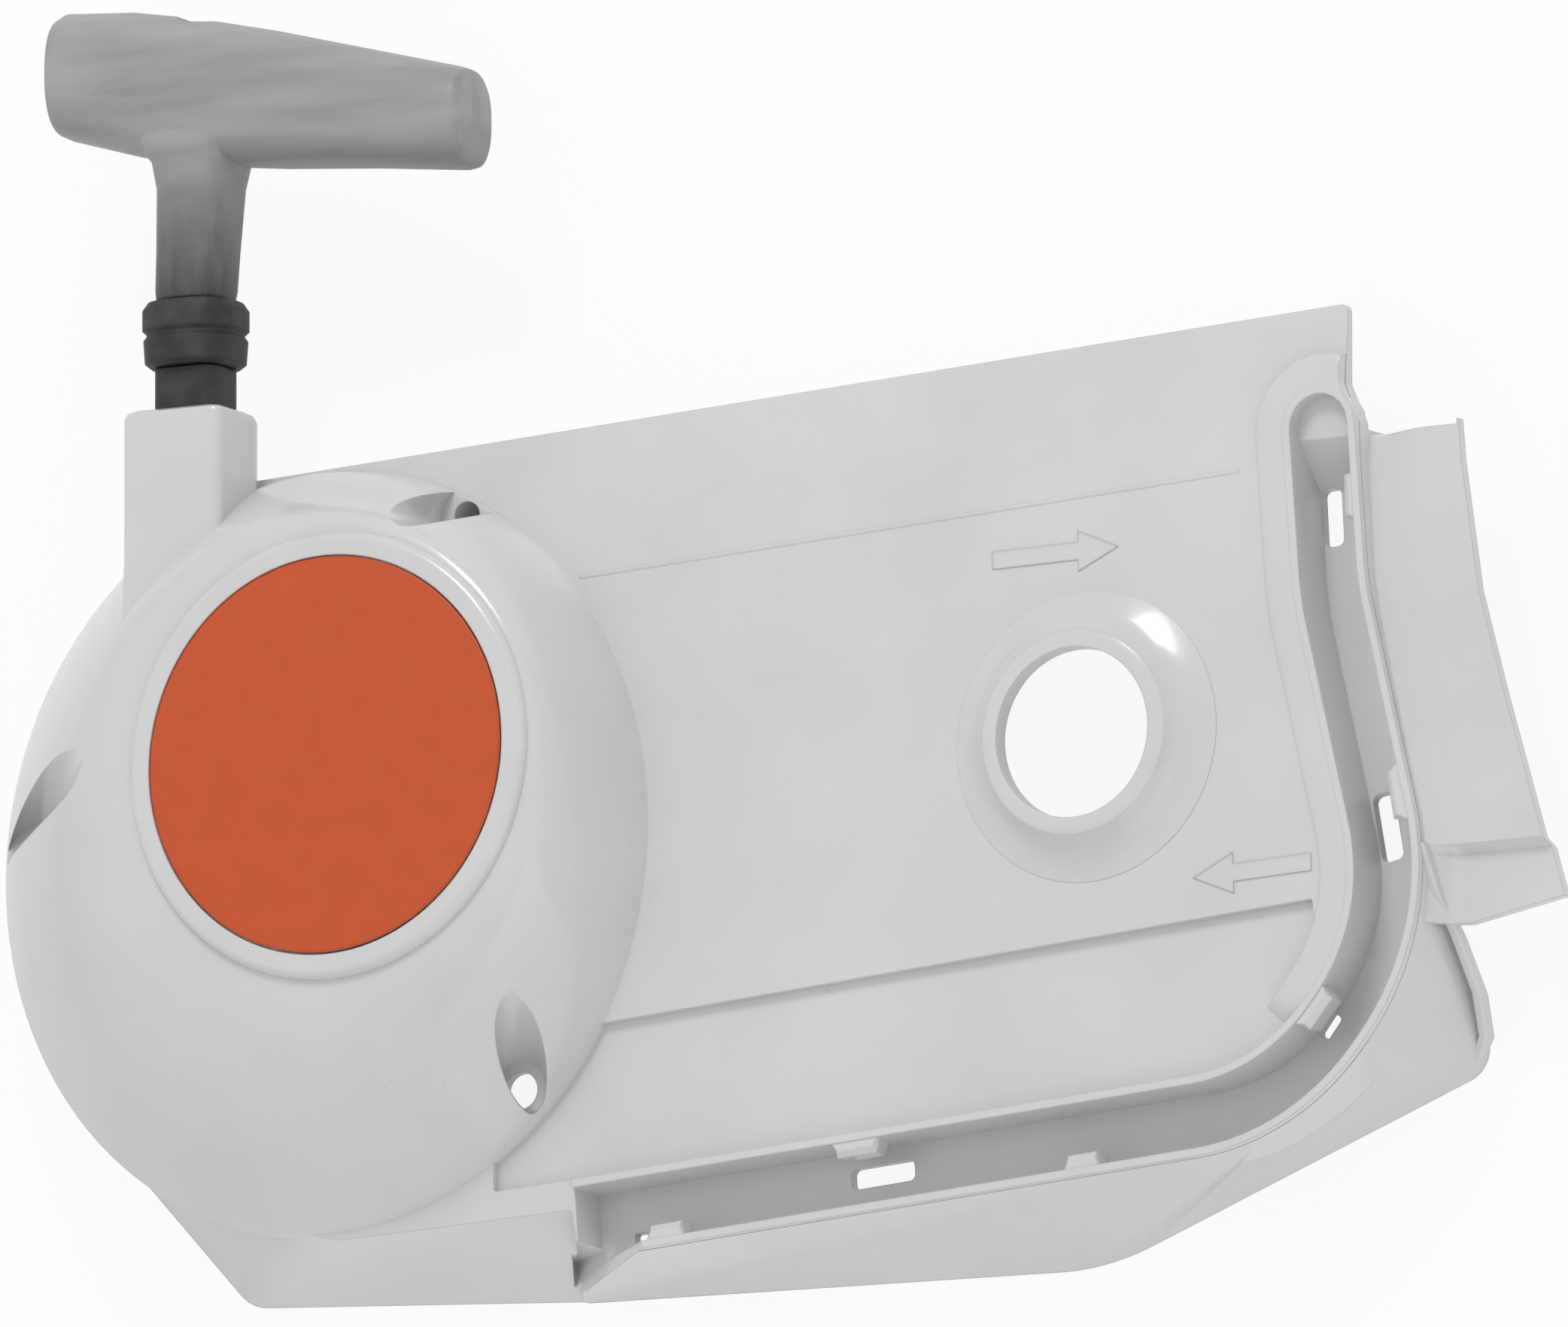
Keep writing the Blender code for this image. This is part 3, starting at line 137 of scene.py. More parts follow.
# Plate to the right of the dome, and the wedge under which its top strip falls away
PLATE_LEFT = -0.0340
PLATE_RIGHT = 0.1922
PLATE_TOP_LEFT = 0.0562
PLATE_TOP_RIGHT = 0.0691
PLATE_BOTTOM = -0.0834
TOP_STRIP_WIDTH = 0.0275
TOP_STRIP_FALL = 0.0022
STRIP_WEDGE = (0.60, 0.06, 0.02)
LEDGE_RECESS = 0.0015

# Groove that runs along the plate's bottom and up its right side
GROOVE_WIDTH = 0.0116
GROOVE_DEPTH = 0.0090
LIP_THICKNESS = 0.0016
LIP_RISE = 0.0014
BERM_WIDTH = 0.0065
SCOOP_LENGTH = 0.0170
SCOOP_RISE = 0.0076

# Ramp at the groove's open end: where it starts and ends along the groove's mouth, and the wall below it
RUN_OUT_START = 0.0140
RUN_OUT_FOOT = -0.0112
RUN_OUT_WALL = WALL * 1.4

# Groove's middle line as (x, y, radius) corners, from its open end to its round end
GROOVE_PATH = [
    (0.0370, PLATE_BOTTOM, 0.0),
    (PLATE_RIGHT - 0.0127, PLATE_BOTTOM + 0.0096, 0.040),
    (PLATE_RIGHT + 0.0104, PLATE_BOTTOM + 0.0375, 0.040),
    (PLATE_RIGHT + 0.0080, PLATE_BOTTOM + 0.0574, 0.020),
    (PLATE_RIGHT - 0.0020, PLATE_BOTTOM + 0.1004, 0.060),
    (PLATE_RIGHT - 0.0042, PLATE_BOTTOM + 0.1304, 0.0),
]

# Hooks that hold the neighbouring cover's edge in the groove
HOOK_REACH = 0.0026
HOOK_HEIGHT = 0.0048
HOOK_ROOT = 0.0006

# Through hole, the wall round it, and the collar that it stands in
HOLE_PLACE = (0.1405, -0.0047)
HOLE_RADIUS = 0.0153
HOLE_LOW = -0.02
HOLE_HIGH = 0.03
HOLE_WALL = WALL * 0.9
HOLE_WALL_LOW = 0.0022
COLLAR_FOOT_RADIUS = 0.0262
COLLAR_RISE = 0.0056

# Side flange
FLANGE_DROP = 0.0042
FLANGE_STEP = 0.0022
FLANGE_TOP = 0.0455
FLANGE_SLANT = 0.0035
FLANGE_RISE = 0.0018
OPEN_EDGE_DEPTH = 0.0034

# Screw pockets in the dome: middle of the floor, lean for each metre of height, and if a tube runs on below
POCKETS = (
    ((-0.0742, -0.0085), (0.80, 0.60), True),
    ((0.0262, -0.0592), (0.55, 0.64), False),
    ((0.0150, 0.0458), (0.0, 0.0), True),
)
POCKET_RADIUS = 0.0052
POCKET_FLOOR = 0.0010
SCREW_HOLE_RADIUS = 0.0026
WIDE_HOLE_RADIUS = 0.0033
SCREW_TUBE_END = -0.0200

# Rope, and the tower that it leaves through
ROPE_RADIUS = 0.0015
ROPE_PITCH_RADIUS = 0.0352
TOWER_WIDTH = 0.0200
TOWER_SHIFT = 0.0012
TOWER_TOP = 0.0675
TOWER_FRONT = 0.0180
TOWER_BACK = -0.0005
TOWER_FRONT_EDGE = 0.0016
TOWER_BACK_EDGE = 0.0060
MOUTH_EDGE = 0.0030
MOUTH_FLOOR_TOP = TOWER_TOP - 0.0115
MOUTH_FLOOR_BOTTOM = MOUTH_FLOOR_TOP - 0.0025
PASSAGE_START = 0.0150
PASSAGE_STEP = 0.0010

# Rope bush in the tower
BUSH_BODY_RADIUS = 0.0040
BUSH_FLANGE = 0.0018

# Post's seat under the dome
POST_RADIUS = 0.0045
POST_BOSS_RADIUS = 0.0080
POST_BOSS_DEPTH = 0.0012
POST_SOCKET_DEPTH = 0.0010

# Pull handle, whose lower end leans to the left
HANDLE_SHIFT = -0.0012
GRIP_LENGTH_LEFT = 0.0290
GRIP_LENGTH_RIGHT = 0.0558
GRIP_DEPTH = 0.0190
GRIP_HEIGHT = 0.0266
STEM_WIDTH = 0.0144
STEM_DEPTH = 0.0144
COLLAR_WIDTH = 0.0184
COLLAR_HEIGHT = 0.0118
INSERT_WIDTH = 0.0130
INSERT_DEPTH = 0.0116
KNOT_POCKET_RADIUS = 0.0048
KNOT_POCKET_DEPTH = 0.0060

# Heights along the rope of the insert's and collar's ends and of the bar's middle
INSERT_BOTTOM = MOUTH_FLOOR_TOP + GAP + BUSH_FLANGE + GAP
COLLAR_BOTTOM = TOWER_TOP + 0.0082
COLLAR_TOP = COLLAR_BOTTOM + COLLAR_HEIGHT
BAR_MIDDLE = TOWER_TOP + 0.0590

# Half sizes of the tower's mouth, which the insert seats in with room all round
MOUTH_HALF_WIDTH = (INSERT_WIDTH + 4.0 * GAP) / 2.0
MOUTH_HALF_DEPTH = (INSERT_DEPTH + 4.0 * GAP) / 2.0

# Squareness of the handle's sections: 2 is an ellipse, and higher ones have fuller corners
BAR_SQUARENESS = 2.5
STEM_SQUARENESS = 2.6
INSERT_SQUARENESS = 4.0

# Heights in the frame between which the handle's stem turns from dark to pale
STEM_DARK = 0.066
BAR_PALE = 0.094

# Fine raised line on the plate
CREASE_START = (0.0375, 0.0329)
CREASE_END = (0.1712, 0.0405)
CREASE_WIDTH = 0.0009
CREASE_RISE = 0.00014

# Raised arrows on the plate: over the through hole and by the right edge
ARROW_SHAFT = 0.0032
ARROW_HEAD = 0.0074
ARROW_HEAD_LENGTH = ARROW_HEAD * 1.1
ARROW_RISE = 0.00022
ARROW_SINK = ARROW_RISE * 0.9
ARROW_BAND = 0.0006
ARROW_ROOT = 0.0004
ARROWS = (
    ((0.1215, 0.0286), (0.1470, 0.0290)),
    ((0.1858, -0.0310), (0.1620, -0.0320)),
)

# Lamps, each aimed at the cover: name, place, size, and the setting that holds its power
LAMPS = (
    ("key_lamp", (0.05, 1.1, 1.1), 0.5, "key_watts"),
    ("fill_lamp", (-1.2, 0.1, 0.9), 1.6, "fill_watts"),
    ("low_lamp", (0.9, -1.2, 0.7), 1.6, "low_watts"),
)

# White floor: its half width, its colour, and its own light's share towards the cover and the camera
FLOOR_SIZE = 4.0
FLOOR_WHITE = (0.85, 0.85, 0.85, 1.0)
FLOOR_LIGHT = 0.4
FLOOR_BRIGHTNESS = 0.9


def colour_setting(name, description, colour):
    """A finish's colour as a setting of the panel."""
    return FloatVectorProperty(
        name=name,
        description=description,
        default=colour,
        subtype="COLOR",
        min=0.0,
        max=1.0,
    )


def power_setting(name, description, watts):
    """A lamp's power as a setting of the panel."""
    return FloatProperty(name=name, description=description, default=watts, min=0.0, unit="POWER")


class CoverSizes(PropertyGroup):
    """Sizes of the details that the finishing adds."""

    edge_softness: FloatProperty(
        name="Edge softness",
        description="Radius to which the moulding's edges look rounded",
        default=0.0005,
        min=0.0,
        unit="LENGTH",
    )
    sharp_angle: FloatProperty(
        name="Sharp angle",
        description="Faces that meet at more than this angle keep a crisp edge",
        default=math.radians(33.0),
        subtype="ANGLE",
    )


class CoverColours(PropertyGroup):
    """Colours of the finishes."""

    shell: colour_setting("Cover", "Colour of the moulded cover", (0.62, 0.62, 0.63))
    badge: colour_setting("Badge disc", "Colour of the plain disc on the dome", (0.54, 0.072, 0.010))
    grip: colour_setting("Handle", "Colour of the handle's worn soft plastic", (0.31, 0.31, 0.31))
    collar: colour_setting("Collar", "Colour of the rubber under the handle", (0.024, 0.024, 0.026))
    nylon: colour_setting("Rotor", "Colour of the rotor's nylon", (0.05, 0.05, 0.055))
    steel: colour_setting("Steel", "Colour of the post, spring and pawl", (0.45, 0.45, 0.46))
    rope: colour_setting("Rope", "Colour of the rope's fibres", (0.55, 0.53, 0.50))


class StageSettings(PropertyGroup):
    """Camera and light."""

    focal_length: FloatProperty(
        name="Focal length",
        description="Lens of the camera, in millimetres on a 36 mm frame",
        default=1300.0,
        min=20.0,
    )
    key_watts: power_setting("Key lamp", "Lamp above the picture's top edge, in watts", 8.0)
    fill_watts: power_setting("Fill lamp", "Soft lamp on the left, in watts", 1.0)
    low_watts: power_setting("Low lamp", "Soft lamp below the picture's lower edge, in watts", 5.0)
    sky: FloatProperty(
        name="Sky",
        description="Strength of the even light from all round",
        default=0.70,
        min=0.0,
    )


def add_node(tree, kind, **settings):
    """A new shader node whose properties are set by name."""
    made = tree.nodes.new(kind)
    for name, value in settings.items():
        setattr(made, name, value)
    return made


def empty_finish(name):
    """A new material, with its node tree and its shader."""
    material = bpy.data.materials.new(name)
    material.use_nodes = True
    tree = material.node_tree
    return material, tree, tree.nodes["Principled BSDF"]


def grain(tree, scale, detail=2.0, stretch=(1.0, 1.0, 1.0), turn=(0.0, 0.0, 0.0)):
    """A noise pattern on the piece itself, so many to the metre."""
    place = add_node(tree, "ShaderNodeTexCoord")
    mapping = add_node(tree, "ShaderNodeMapping")
    mapping.inputs["Scale"].default_value = stretch
    mapping.inputs["Rotation"].default_value = turn
    noise = add_node(tree, "ShaderNodeTexNoise")
    noise.inputs["Scale"].default_value = scale
    noise.inputs["Detail"].default_value = detail
    tree.links.new(place.outputs["Object"], mapping.inputs["Vector"])
    tree.links.new(mapping.outputs["Vector"], noise.inputs["Vector"])
    return noise.outputs["Fac"]


def shades(tree, pattern, dark, light, start=0.35, end=0.65):
    """Colours from dark to light along a pattern."""
    ramp = add_node(tree, "ShaderNodeValToRGB")
    first, last = ramp.color_ramp.elements
    first.position = start
    first.color = (*dark, 1.0)
    last.position = end
    last.color = (*light, 1.0)
    tree.links.new(pattern, ramp.inputs["Fac"])
    return ramp.outputs["Color"]


def blended(tree, pattern, under, over):
    """The colour over laid on the colour under, where the pattern is high."""
    mix = add_node(tree, "ShaderNodeMix", data_type="RGBA")
    colour_a, colour_b = [socket for socket in mix.inputs if socket.type == "RGBA"]
    result = next(socket for socket in mix.outputs if socket.type == "RGBA")
    tree.links.new(pattern, mix.inputs["Factor"])
    tree.links.new(under, colour_a)
    tree.links.new(over, colour_b)
    return result


def ranged(tree, pattern, low, high, start=0.3, end=0.7):
    """A number from low to high along a pattern."""
    spread = add_node(tree, "ShaderNodeMapRange")
    spread.inputs["From Min"].default_value = start
    spread.inputs["From Max"].default_value = end
    spread.inputs["To Min"].default_value = low
    spread.inputs["To Max"].default_value = high
    tree.links.new(pattern, spread.inputs["Value"])
    return spread.outputs["Result"]


def rounded_edges(tree, radius):
    """Normals that run softly over the piece's edges."""
    soft = add_node(tree, "ShaderNodeBevel", samples=6)
    soft.inputs["Radius"].default_value = radius
    return soft.outputs["Normal"]


def raised(tree, height, depth, under=None):
    """Bumps of that depth in metres, on the normals under them."""
    bump = add_node(tree, "ShaderNodeBump")
    bump.inputs["Strength"].default_value = 1.0
    bump.inputs["Distance"].default_value = depth
    tree.links.new(height, bump.inputs["Height"])
    if under is not None:
        tree.links.new(under, bump.inputs["Normal"])
    return bump.outputs["Normal"]


def scaled(colour, factor):
    """The colour, lighter or darker by a factor."""
    return tuple(min(1.0, channel * factor) for channel in colour)


def connect(tree, shader, colour, roughness, normal):
    """A shader's colour, roughness and normals, each from its pattern."""
    tree.links.new(colour, shader.inputs["Base Color"])
    tree.links.new(roughness, shader.inputs["Roughness"])
    tree.links.new(normal, shader.inputs["Normal"])


def moulded_finish(name, colour, softness):
    """Smooth injection-moulded plastic: slight clouding, a fine grain and shallow flow ripples."""
    material, tree, shader = empty_finish(name)
    clouds = grain(tree, 38.0, 3.0)
    colours = shades(tree, clouds, scaled(colour, 0.965), scaled(colour, 1.03), 0.3, 0.7)
    specks = grain(tree, 900.0, 1.0)
    worn = shades(tree, specks, scaled(colour, 0.965), scaled(colour, 0.995), 0.3, 0.42)
    speckled = blended(tree, ranged(tree, specks, 1.0, 0.0, 0.24, 0.30), colours, worn)
    roughness = ranged(tree, grain(tree, 120.0, 4.0), 0.17, 0.25)
    ripples = raised(tree, grain(tree, 55.0, 1.0), 0.00006, rounded_edges(tree, softness))
    connect(tree, shader, speckled, roughness, raised(tree, grain(tree, 2600.0, 2.0), 0.000012, ripples))
    shader.inputs["Coat Weight"].default_value = 0.4
    shader.inputs["Coat Roughness"].default_value = 0.09
    return material


def badge_finish(colour):
    """Satin painted disc with a faint mottle."""
    material, tree, shader = empty_finish("satin_orange")
    mottle = grain(tree, 160.0, 5.0)
    colours = shades(tree, mottle, scaled(colour, 0.96), scaled(colour, 1.03), 0.32, 0.68)
    roughness = ranged(tree, grain(tree, 420.0, 3.0), 0.46, 0.58)
    soft = rounded_edges(tree, 0.0003)
    connect(tree, shader, colours, roughness, raised(tree, grain(tree, 1500.0, 3.0), 0.00002, soft))
    return material


def worn_grip_finish(colour):
    """Soft plastic of a handle, greyed and streaked by use, and darker down its stem."""
    material, tree, shader = empty_finish("worn_soft_plastic")
    streaks = grain(tree, 120.0, 5.0, (0.22, 1.5, 1.5))
    bar = shades(tree, streaks, scaled(colour, 0.88), scaled(colour, 1.14), 0.34, 0.66)
    upright_streaks = grain(tree, 260.0, 3.0, (1.6, 0.3, 1.6))
    stem = shades(tree, upright_streaks, scaled(colour, 0.17), scaled(colour, 0.28))
    place = add_node(tree, "ShaderNodeTexCoord")
    axes = add_node(tree, "ShaderNodeSeparateXYZ")
    tree.links.new(place.outputs["Object"], axes.inputs["Vector"])
    height = ranged(tree, axes.outputs["Y"], 0.0, 1.0, STEM_DARK, BAR_PALE)
    soft = rounded_edges(tree, 0.0008)
    normal = raised(tree, grain(tree, 1300.0, 4.0), 0.00003, soft)
    connect(tree, shader, blended(tree, height, stem, bar), ranged(tree, streaks, 0.40, 0.56), normal)
    return material


def rubber_finish(colour):
    """Dark soft rubber with a dusty bloom."""
    material, tree, shader = empty_finish("dark_rubber")
    bloom = grain(tree, 260.0, 5.0)
    colours = shades(tree, bloom, scaled(colour, 0.8), scaled(colour, 1.9), 0.4, 0.72)
    soft = rounded_edges(tree, 0.0004)
    normal = raised(tree, grain(tree, 1700.0, 3.0), 0.00003, soft)
    connect(tree, shader, colours, ranged(tree, bloom, 0.5, 0.68), normal)
    return material


def nylon_finish(colour):
    """Glass-filled nylon: black, with pale fibres just under the skin."""
    material, tree, shader = empty_finish("glass_filled_nylon")
    fibres = grain(tree, 600.0, 2.0, (0.25, 1.0, 1.0), (0.0, 0.0, 0.7))
    colours = shades(tree, fibres, scaled(colour, 0.8), scaled(colour, 1.7), 0.45, 0.75)
    roughness = ranged(tree, grain(tree, 180.0, 4.0), 0.38, 0.55)
    connect(tree, shader, colours, roughness, raised(tree, fibres, 0.00002, rounded_edges(tree, 0.0003)))
    return material


def steel_finish(colour):
    """Rolled and turned steel with fine scratches and a trace of oil."""
    material, tree, shader = empty_finish("oiled_steel")
    shader.inputs["Metallic"].default_value = 1.0
    scratches = grain(tree, 420.0, 4.0, (0.15, 2.4, 1.0))
    colours = shades(tree, scratches, scaled(colour, 0.8), scaled(colour, 1.1), 0.35, 0.65)
    normal = raised(tree, scratches, 0.00001, rounded_edges(tree, 0.00012))
    connect(tree, shader, colours, ranged(tree, scratches, 0.26, 0.42), normal)
    return material


def rope_finish(colour):
    """Braided rope: bundles of pale fibre, with painted shade darkening the gaps between them."""
    material, tree, shader = empty_finish("braided_rope")
    weave = add_node(tree, "ShaderNodeTexVoronoi")
    weave.inputs["Scale"].default_value = 1150.0
    place = add_node(tree, "ShaderNodeTexCoord")
    tree.links.new(place.outputs["Object"], weave.inputs["Vector"])
    braid = weave.outputs["Distance"]
    # Painted shade: the colour runs from slightly lighter in the middle of each bundle to far darker in the
    # gaps between bundles.
    fibre_with_gap_shade = shades(tree, braid, scaled(colour, 1.1), scaled(colour, 0.35), 0.1, 0.75)
    connect(tree, shader, fibre_with_gap_shade, ranged(tree, braid, 0.7, 0.95), raised(tree, braid, -0.0002))
    return material


def new_object(name, work):
    """A new object at the origin from a finished bmesh, with its faces turned outwards."""
    bmesh.ops.recalc_face_normals(work, faces=work.faces[:])
    mesh = bpy.data.meshes.new(name)
    work.to_mesh(mesh)
    work.free()
    made = bpy.data.objects.new(name, mesh)
    bpy.context.scene.collection.objects.link(made)
    return made


def ring_edges(work, ring):
    """A closed loop of edges through the points of a ring."""
    vertices = [work.verts.new(point) for point in ring]
    return [work.edges.new(pair) for pair in zip(vertices, vertices[1:] + vertices[:1])]


def loft(name, rings, even=False):
    """A closed body bridged through rings of the same number of points.

    Even sides all have their diagonal the same way, so that a twisted wall keeps its thickness.
    """
    work = bmesh.new()
    loops = [ring_edges(work, ring) for ring in rings]
    sides = []
    for lower, upper in zip(loops, loops[1:]):
        sides += bmesh.ops.bridge_loops(work, edges=lower + upper)["faces"]
    if even:
        bmesh.ops.triangulate(work, faces=sides, quad_method="FIXED")
    for ends in (loops[0], loops[-1]):
        bmesh.ops.contextual_create(work, geom=ends)
    return new_object(name, work)


def level(outline, height):
    """An outline in plan, laid at a height."""
    return [(x, y, height) for x, y in outline]


def prism(name, outline, low, high):
    """A straight body on an outline in plan."""
    return loft(name, [level(outline, low), level(outline, high)])


def extruded(name, profile, left, right):
    """A straight body across, on a profile of (y, z)."""
    return loft(name, [[(x, y, z) for y, z in profile] for x in (left, right)])


def turned(name, profile, centre=(0.0, 0.0, 0.0), upright=False):
    """A body of revolution from a profile of (radius, height) that starts and ends on its axis."""
    work = bmesh.new()
    vertices = [work.verts.new((radius, 0.0, height)) for radius, height in profile]
    edges = [work.edges.new(pair) for pair in zip(vertices, vertices[1:])]
    bmesh.ops.spin(
        work,
        geom=vertices + edges,
        cent=(0.0, 0.0, 0.0),
        axis=(0.0, 0.0, 1.0),
        angle=2.0 * math.pi,
        steps=ROUND_STEPS,
        use_merge=True,
    )
    bmesh.ops.remove_doubles(work, verts=work.verts[:], dist=POLE_WELD)
    if upright:
        matrix = Matrix.Rotation(-math.pi / 2.0, 3, "X")
        bmesh.ops.rotate(work, verts=work.verts[:], cent=(0.0, 0.0, 0.0), matrix=matrix)
    bmesh.ops.translate(work, verts=work.verts[:], vec=centre)
    return new_object(name, work)


def cylinder(name, radius, low, high, centre=(0.0, 0.0)):
    """A plain round body along the rotor's axis, or beside it."""
    profile = [(0.0, low), (radius, low), (radius, high), (0.0, high)]
    return turned(name, profile, (*centre, 0.0))


def rope_cylinder(name, radius, low, high):
    """A plain round body along the rope."""
    profile = [(0.0, low), (radius, low), (radius, high), (0.0, high)]
    return turned(name, profile, (-ROPE_PITCH_RADIUS, 0.0, ROPE_HEIGHT), upright=True)


def circle(centre, radius, steps):
    """Points round a circle in plan."""
    angles = [2.0 * math.pi * step / steps for step in range(steps)]
    return [(centre[0] + radius * math.cos(a), centre[1] + radius * math.sin(a)) for a in angles]


def turned_outline(outline, place, degrees):
    """An outline in plan, turned about its origin and moved to a place."""
    cosine, sine = math.cos(math.radians(degrees)), math.sin(math.radians(degrees))
    return [(place[0] + x * cosine - y * sine, place[1] + x * sine + y * cosine) for x, y in outline]


def boolean(target, tool, operation):
    """Joins a tool to the target, cuts it away or keeps what both share, and removes the tool."""
    modifier = target.modifiers.new(operation.title(), "BOOLEAN")
    modifier.operation = operation
    modifier.solver = "MANIFOLD"
    modifier.object = tool
    bpy.context.view_layer.update()
    graph = bpy.context.evaluated_depsgraph_get()
    mesh = bpy.data.meshes.new_from_object(target.evaluated_get(graph))
    target.modifiers.clear()
    target.data = mesh
    bpy.data.objects.remove(tool, do_unlink=True)


def cut(target, *tools):
    """Cuts each tool away from the target."""
    for tool in tools:
        boolean(target, tool, "DIFFERENCE")


def join(target, *tools):
    """Joins each tool to the target."""
    for tool in tools:
        boolean(target, tool, "UNION")


def line_meeting(a, b, c, d):
    """Where the line through a and b meets the line through c and d."""
    first = (b[0] - a[0], b[1] - a[1])
    second = (d[0] - c[0], d[1] - c[1])
    cross = first[0] * second[1] - first[1] * second[0]
    share = ((c[0] - a[0]) * second[1] - (c[1] - a[1]) * second[0]) / cross
    return (a[0] + share * first[0], a[1] + share * first[1])


def moved_side(a, b, distance):
    """The side from a to b moved to its left by a distance."""
    length = math.hypot(b[0] - a[0], b[1] - a[1])
    shift_x = -(b[1] - a[1]) / length * distance
    shift_y = (b[0] - a[0]) / length * distance
    return (a[0] + shift_x, a[1] + shift_y), (b[0] + shift_x, b[1] + shift_y)


def moved_path(corners, distance, closed=False):
    """An outline of (x, y, radius) corners moved to its left, its roundings kept concentric."""
    count = len(corners)
    moved = []
    for i, (x, y, radius) in enumerate(corners):
        before, after = corners[i - 1], corners[(i + 1) % count]
        if not closed and i == 0:
            moved.append((*moved_side((x, y), after[:2], distance)[0], radius))
            continue
        if not closed and i == count - 1:
            moved.append((*moved_side(before[:2], (x, y), distance)[1], radius))
            continue
        first = moved_side(before[:2], (x, y), distance)
        second = moved_side((x, y), after[:2], distance)
        turn = (x - before[0]) * (after[1] - y) - (y - before[1]) * (after[0] - x)
        new_radius = radius - distance if turn > 0 else radius + distance
        moved.append((*line_meeting(*first, *second), max(new_radius, TIGHTEST)))
    return moved


def rounded(corners, closed=True, steps=ARC_STEPS):
    """Points along an outline of (x, y, radius) corners, with that many chords at each rounding."""
    points = []
    count = len(corners)
    for i, (x, y, radius) in enumerate(corners):
        if not closed and i in (0, count - 1):
            points.append((x, y))
            continue
        corner = Vector((x, y))
        before = (Vector(corners[i - 1][:2]) - corner).normalized()
        after = (Vector(corners[(i + 1) % count][:2]) - corner).normalized()
        half = before.angle(after) / 2.0
        centre = corner + (before + after).normalized() * radius / math.sin(half)
        start = corner + before * radius / math.tan(half) - centre
        end = corner + after * radius / math.tan(half) - centre
        sweep = start.angle_signed(end)
        for step in range(steps + 1):
            arm = start.copy()
            arm.rotate(Matrix.Rotation(-sweep * step / steps, 2))
            points.append((centre.x + arm.x, centre.y + arm.y))
    return points


def channel_outline(path, half_width, start_reach=0.0):
    """Closed outline of a channel along an open path, with a round end."""
    right = rounded(moved_path(path, -half_width), closed=False, steps=OUTLINE_STEPS)
    left = rounded(moved_path(path, half_width), closed=False, steps=OUTLINE_STEPS)
    end = Vector(path[-1][:2])
    arm = Vector(right[-1]) - end
    cap = []
    for step in range(1, CAP_STEPS):
        turned_arm = arm.copy()
        turned_arm.rotate(Matrix.Rotation(math.pi * step / CAP_STEPS, 2))
        cap.append((end.x + turned_arm.x, end.y + turned_arm.y))
    right[0] = (right[0][0] - start_reach, right[0][1])
    left[0] = (left[0][0] - start_reach, left[0][1])
    return right + cap + left[::-1]


def face_corners():
    """Corners of the plate's outline at the height of its face."""
    ridge = moved_path(GROOVE_PATH, -GROOVE_WIDTH / 2.0 - LIP_THICKNESS)
    return [
        (0.0360, PLATE_BOTTOM + 0.0020, 0.0005),
        (*ridge[0][:2], 0.0005),
        *ridge[1:5],
        (*ridge[5][:2], 0.0030),
        (PLATE_RIGHT, PLATE_TOP_RIGHT - 0.0145, 0.0030),
        (PLATE_RIGHT, PLATE_TOP_RIGHT, 0.0015),
        (PLATE_LEFT, PLATE_TOP_LEFT, 0.0005),
        (-0.0600, 0.0, 0.0005),
        (-0.0550, PLATE_BOTTOM + 0.0234, 0.0005),
        (-0.0150, PLATE_BOTTOM + 0.0002, 0.0200),
    ]


def rim_corners():
    """Corners of the skirt's outline at its rim."""
    return [
        (0.0250, PLATE_BOTTOM - 0.0103, 0.0003),
        (0.0262, PLATE_BOTTOM - 0.0106, 0.0003),
        (PLATE_RIGHT - 0.0605, PLATE_BOTTOM - 0.0129, 0.050),
        (PLATE_RIGHT + 0.0177, PLATE_BOTTOM + 0.0170, 0.006),
        (PLATE_RIGHT + 0.0068, PLATE_BOTTOM + 0.0574, 0.020),
        (PLATE_RIGHT + 0.0067, PLATE_BOTTOM + 0.1009, 0.050),
        (PLATE_RIGHT + 0.0042, PLATE_BOTTOM + 0.1304, 0.0030),
        (PLATE_RIGHT + 0.0010, PLATE_TOP_RIGHT - 0.0145, 0.0030),
        (PLATE_RIGHT + 0.0010, PLATE_TOP_RIGHT + 0.0010, 0.0015),
        (PLATE_LEFT, PLATE_TOP_LEFT + 0.0010, 0.0005),
        (-0.0740, -0.0200, 0.0005),
        (-0.0720, PLATE_BOTTOM + 0.0264, 0.0030),
        (-0.0430, PLATE_BOTTOM - 0.0060, 0.0080),
    ]


def plate_block(name, inset, top):
    """The plate and its skirt as a solid block, or the hollow below them when inset by a wall."""
    bottom = -SKIRT_DEPTH - (OVERRUN if inset else 0.0)
    rings = []
    for corners, height in ((rim_corners(), bottom), (face_corners(), top)):
        moved = moved_path(corners, inset, closed=True)
        rings.append(level(rounded(moved, steps=OUTLINE_STEPS), height))
    return loft(name, rings, even=True)


def dome_point(angle, inset, share):
    """A point of the dome's flank, from its egg-shaped foot at share 0 to the boss at share 1."""
    foot_x = DOME_FOOT_X + (DOME_FOOT_WIDTH / 2.0 - inset) * math.cos(angle)
    foot_y = DOME_FOOT_Y + (DOME_FOOT_HEIGHT / 2.0 - inset) * math.sin(angle)
    boss_x = (BOSS_RADIUS - inset) * math.cos(angle)
    boss_y = (BOSS_RADIUS - inset) * math.sin(angle)
    return foot_x + (boss_x - foot_x) * share, foot_y + (boss_y - foot_y) * share


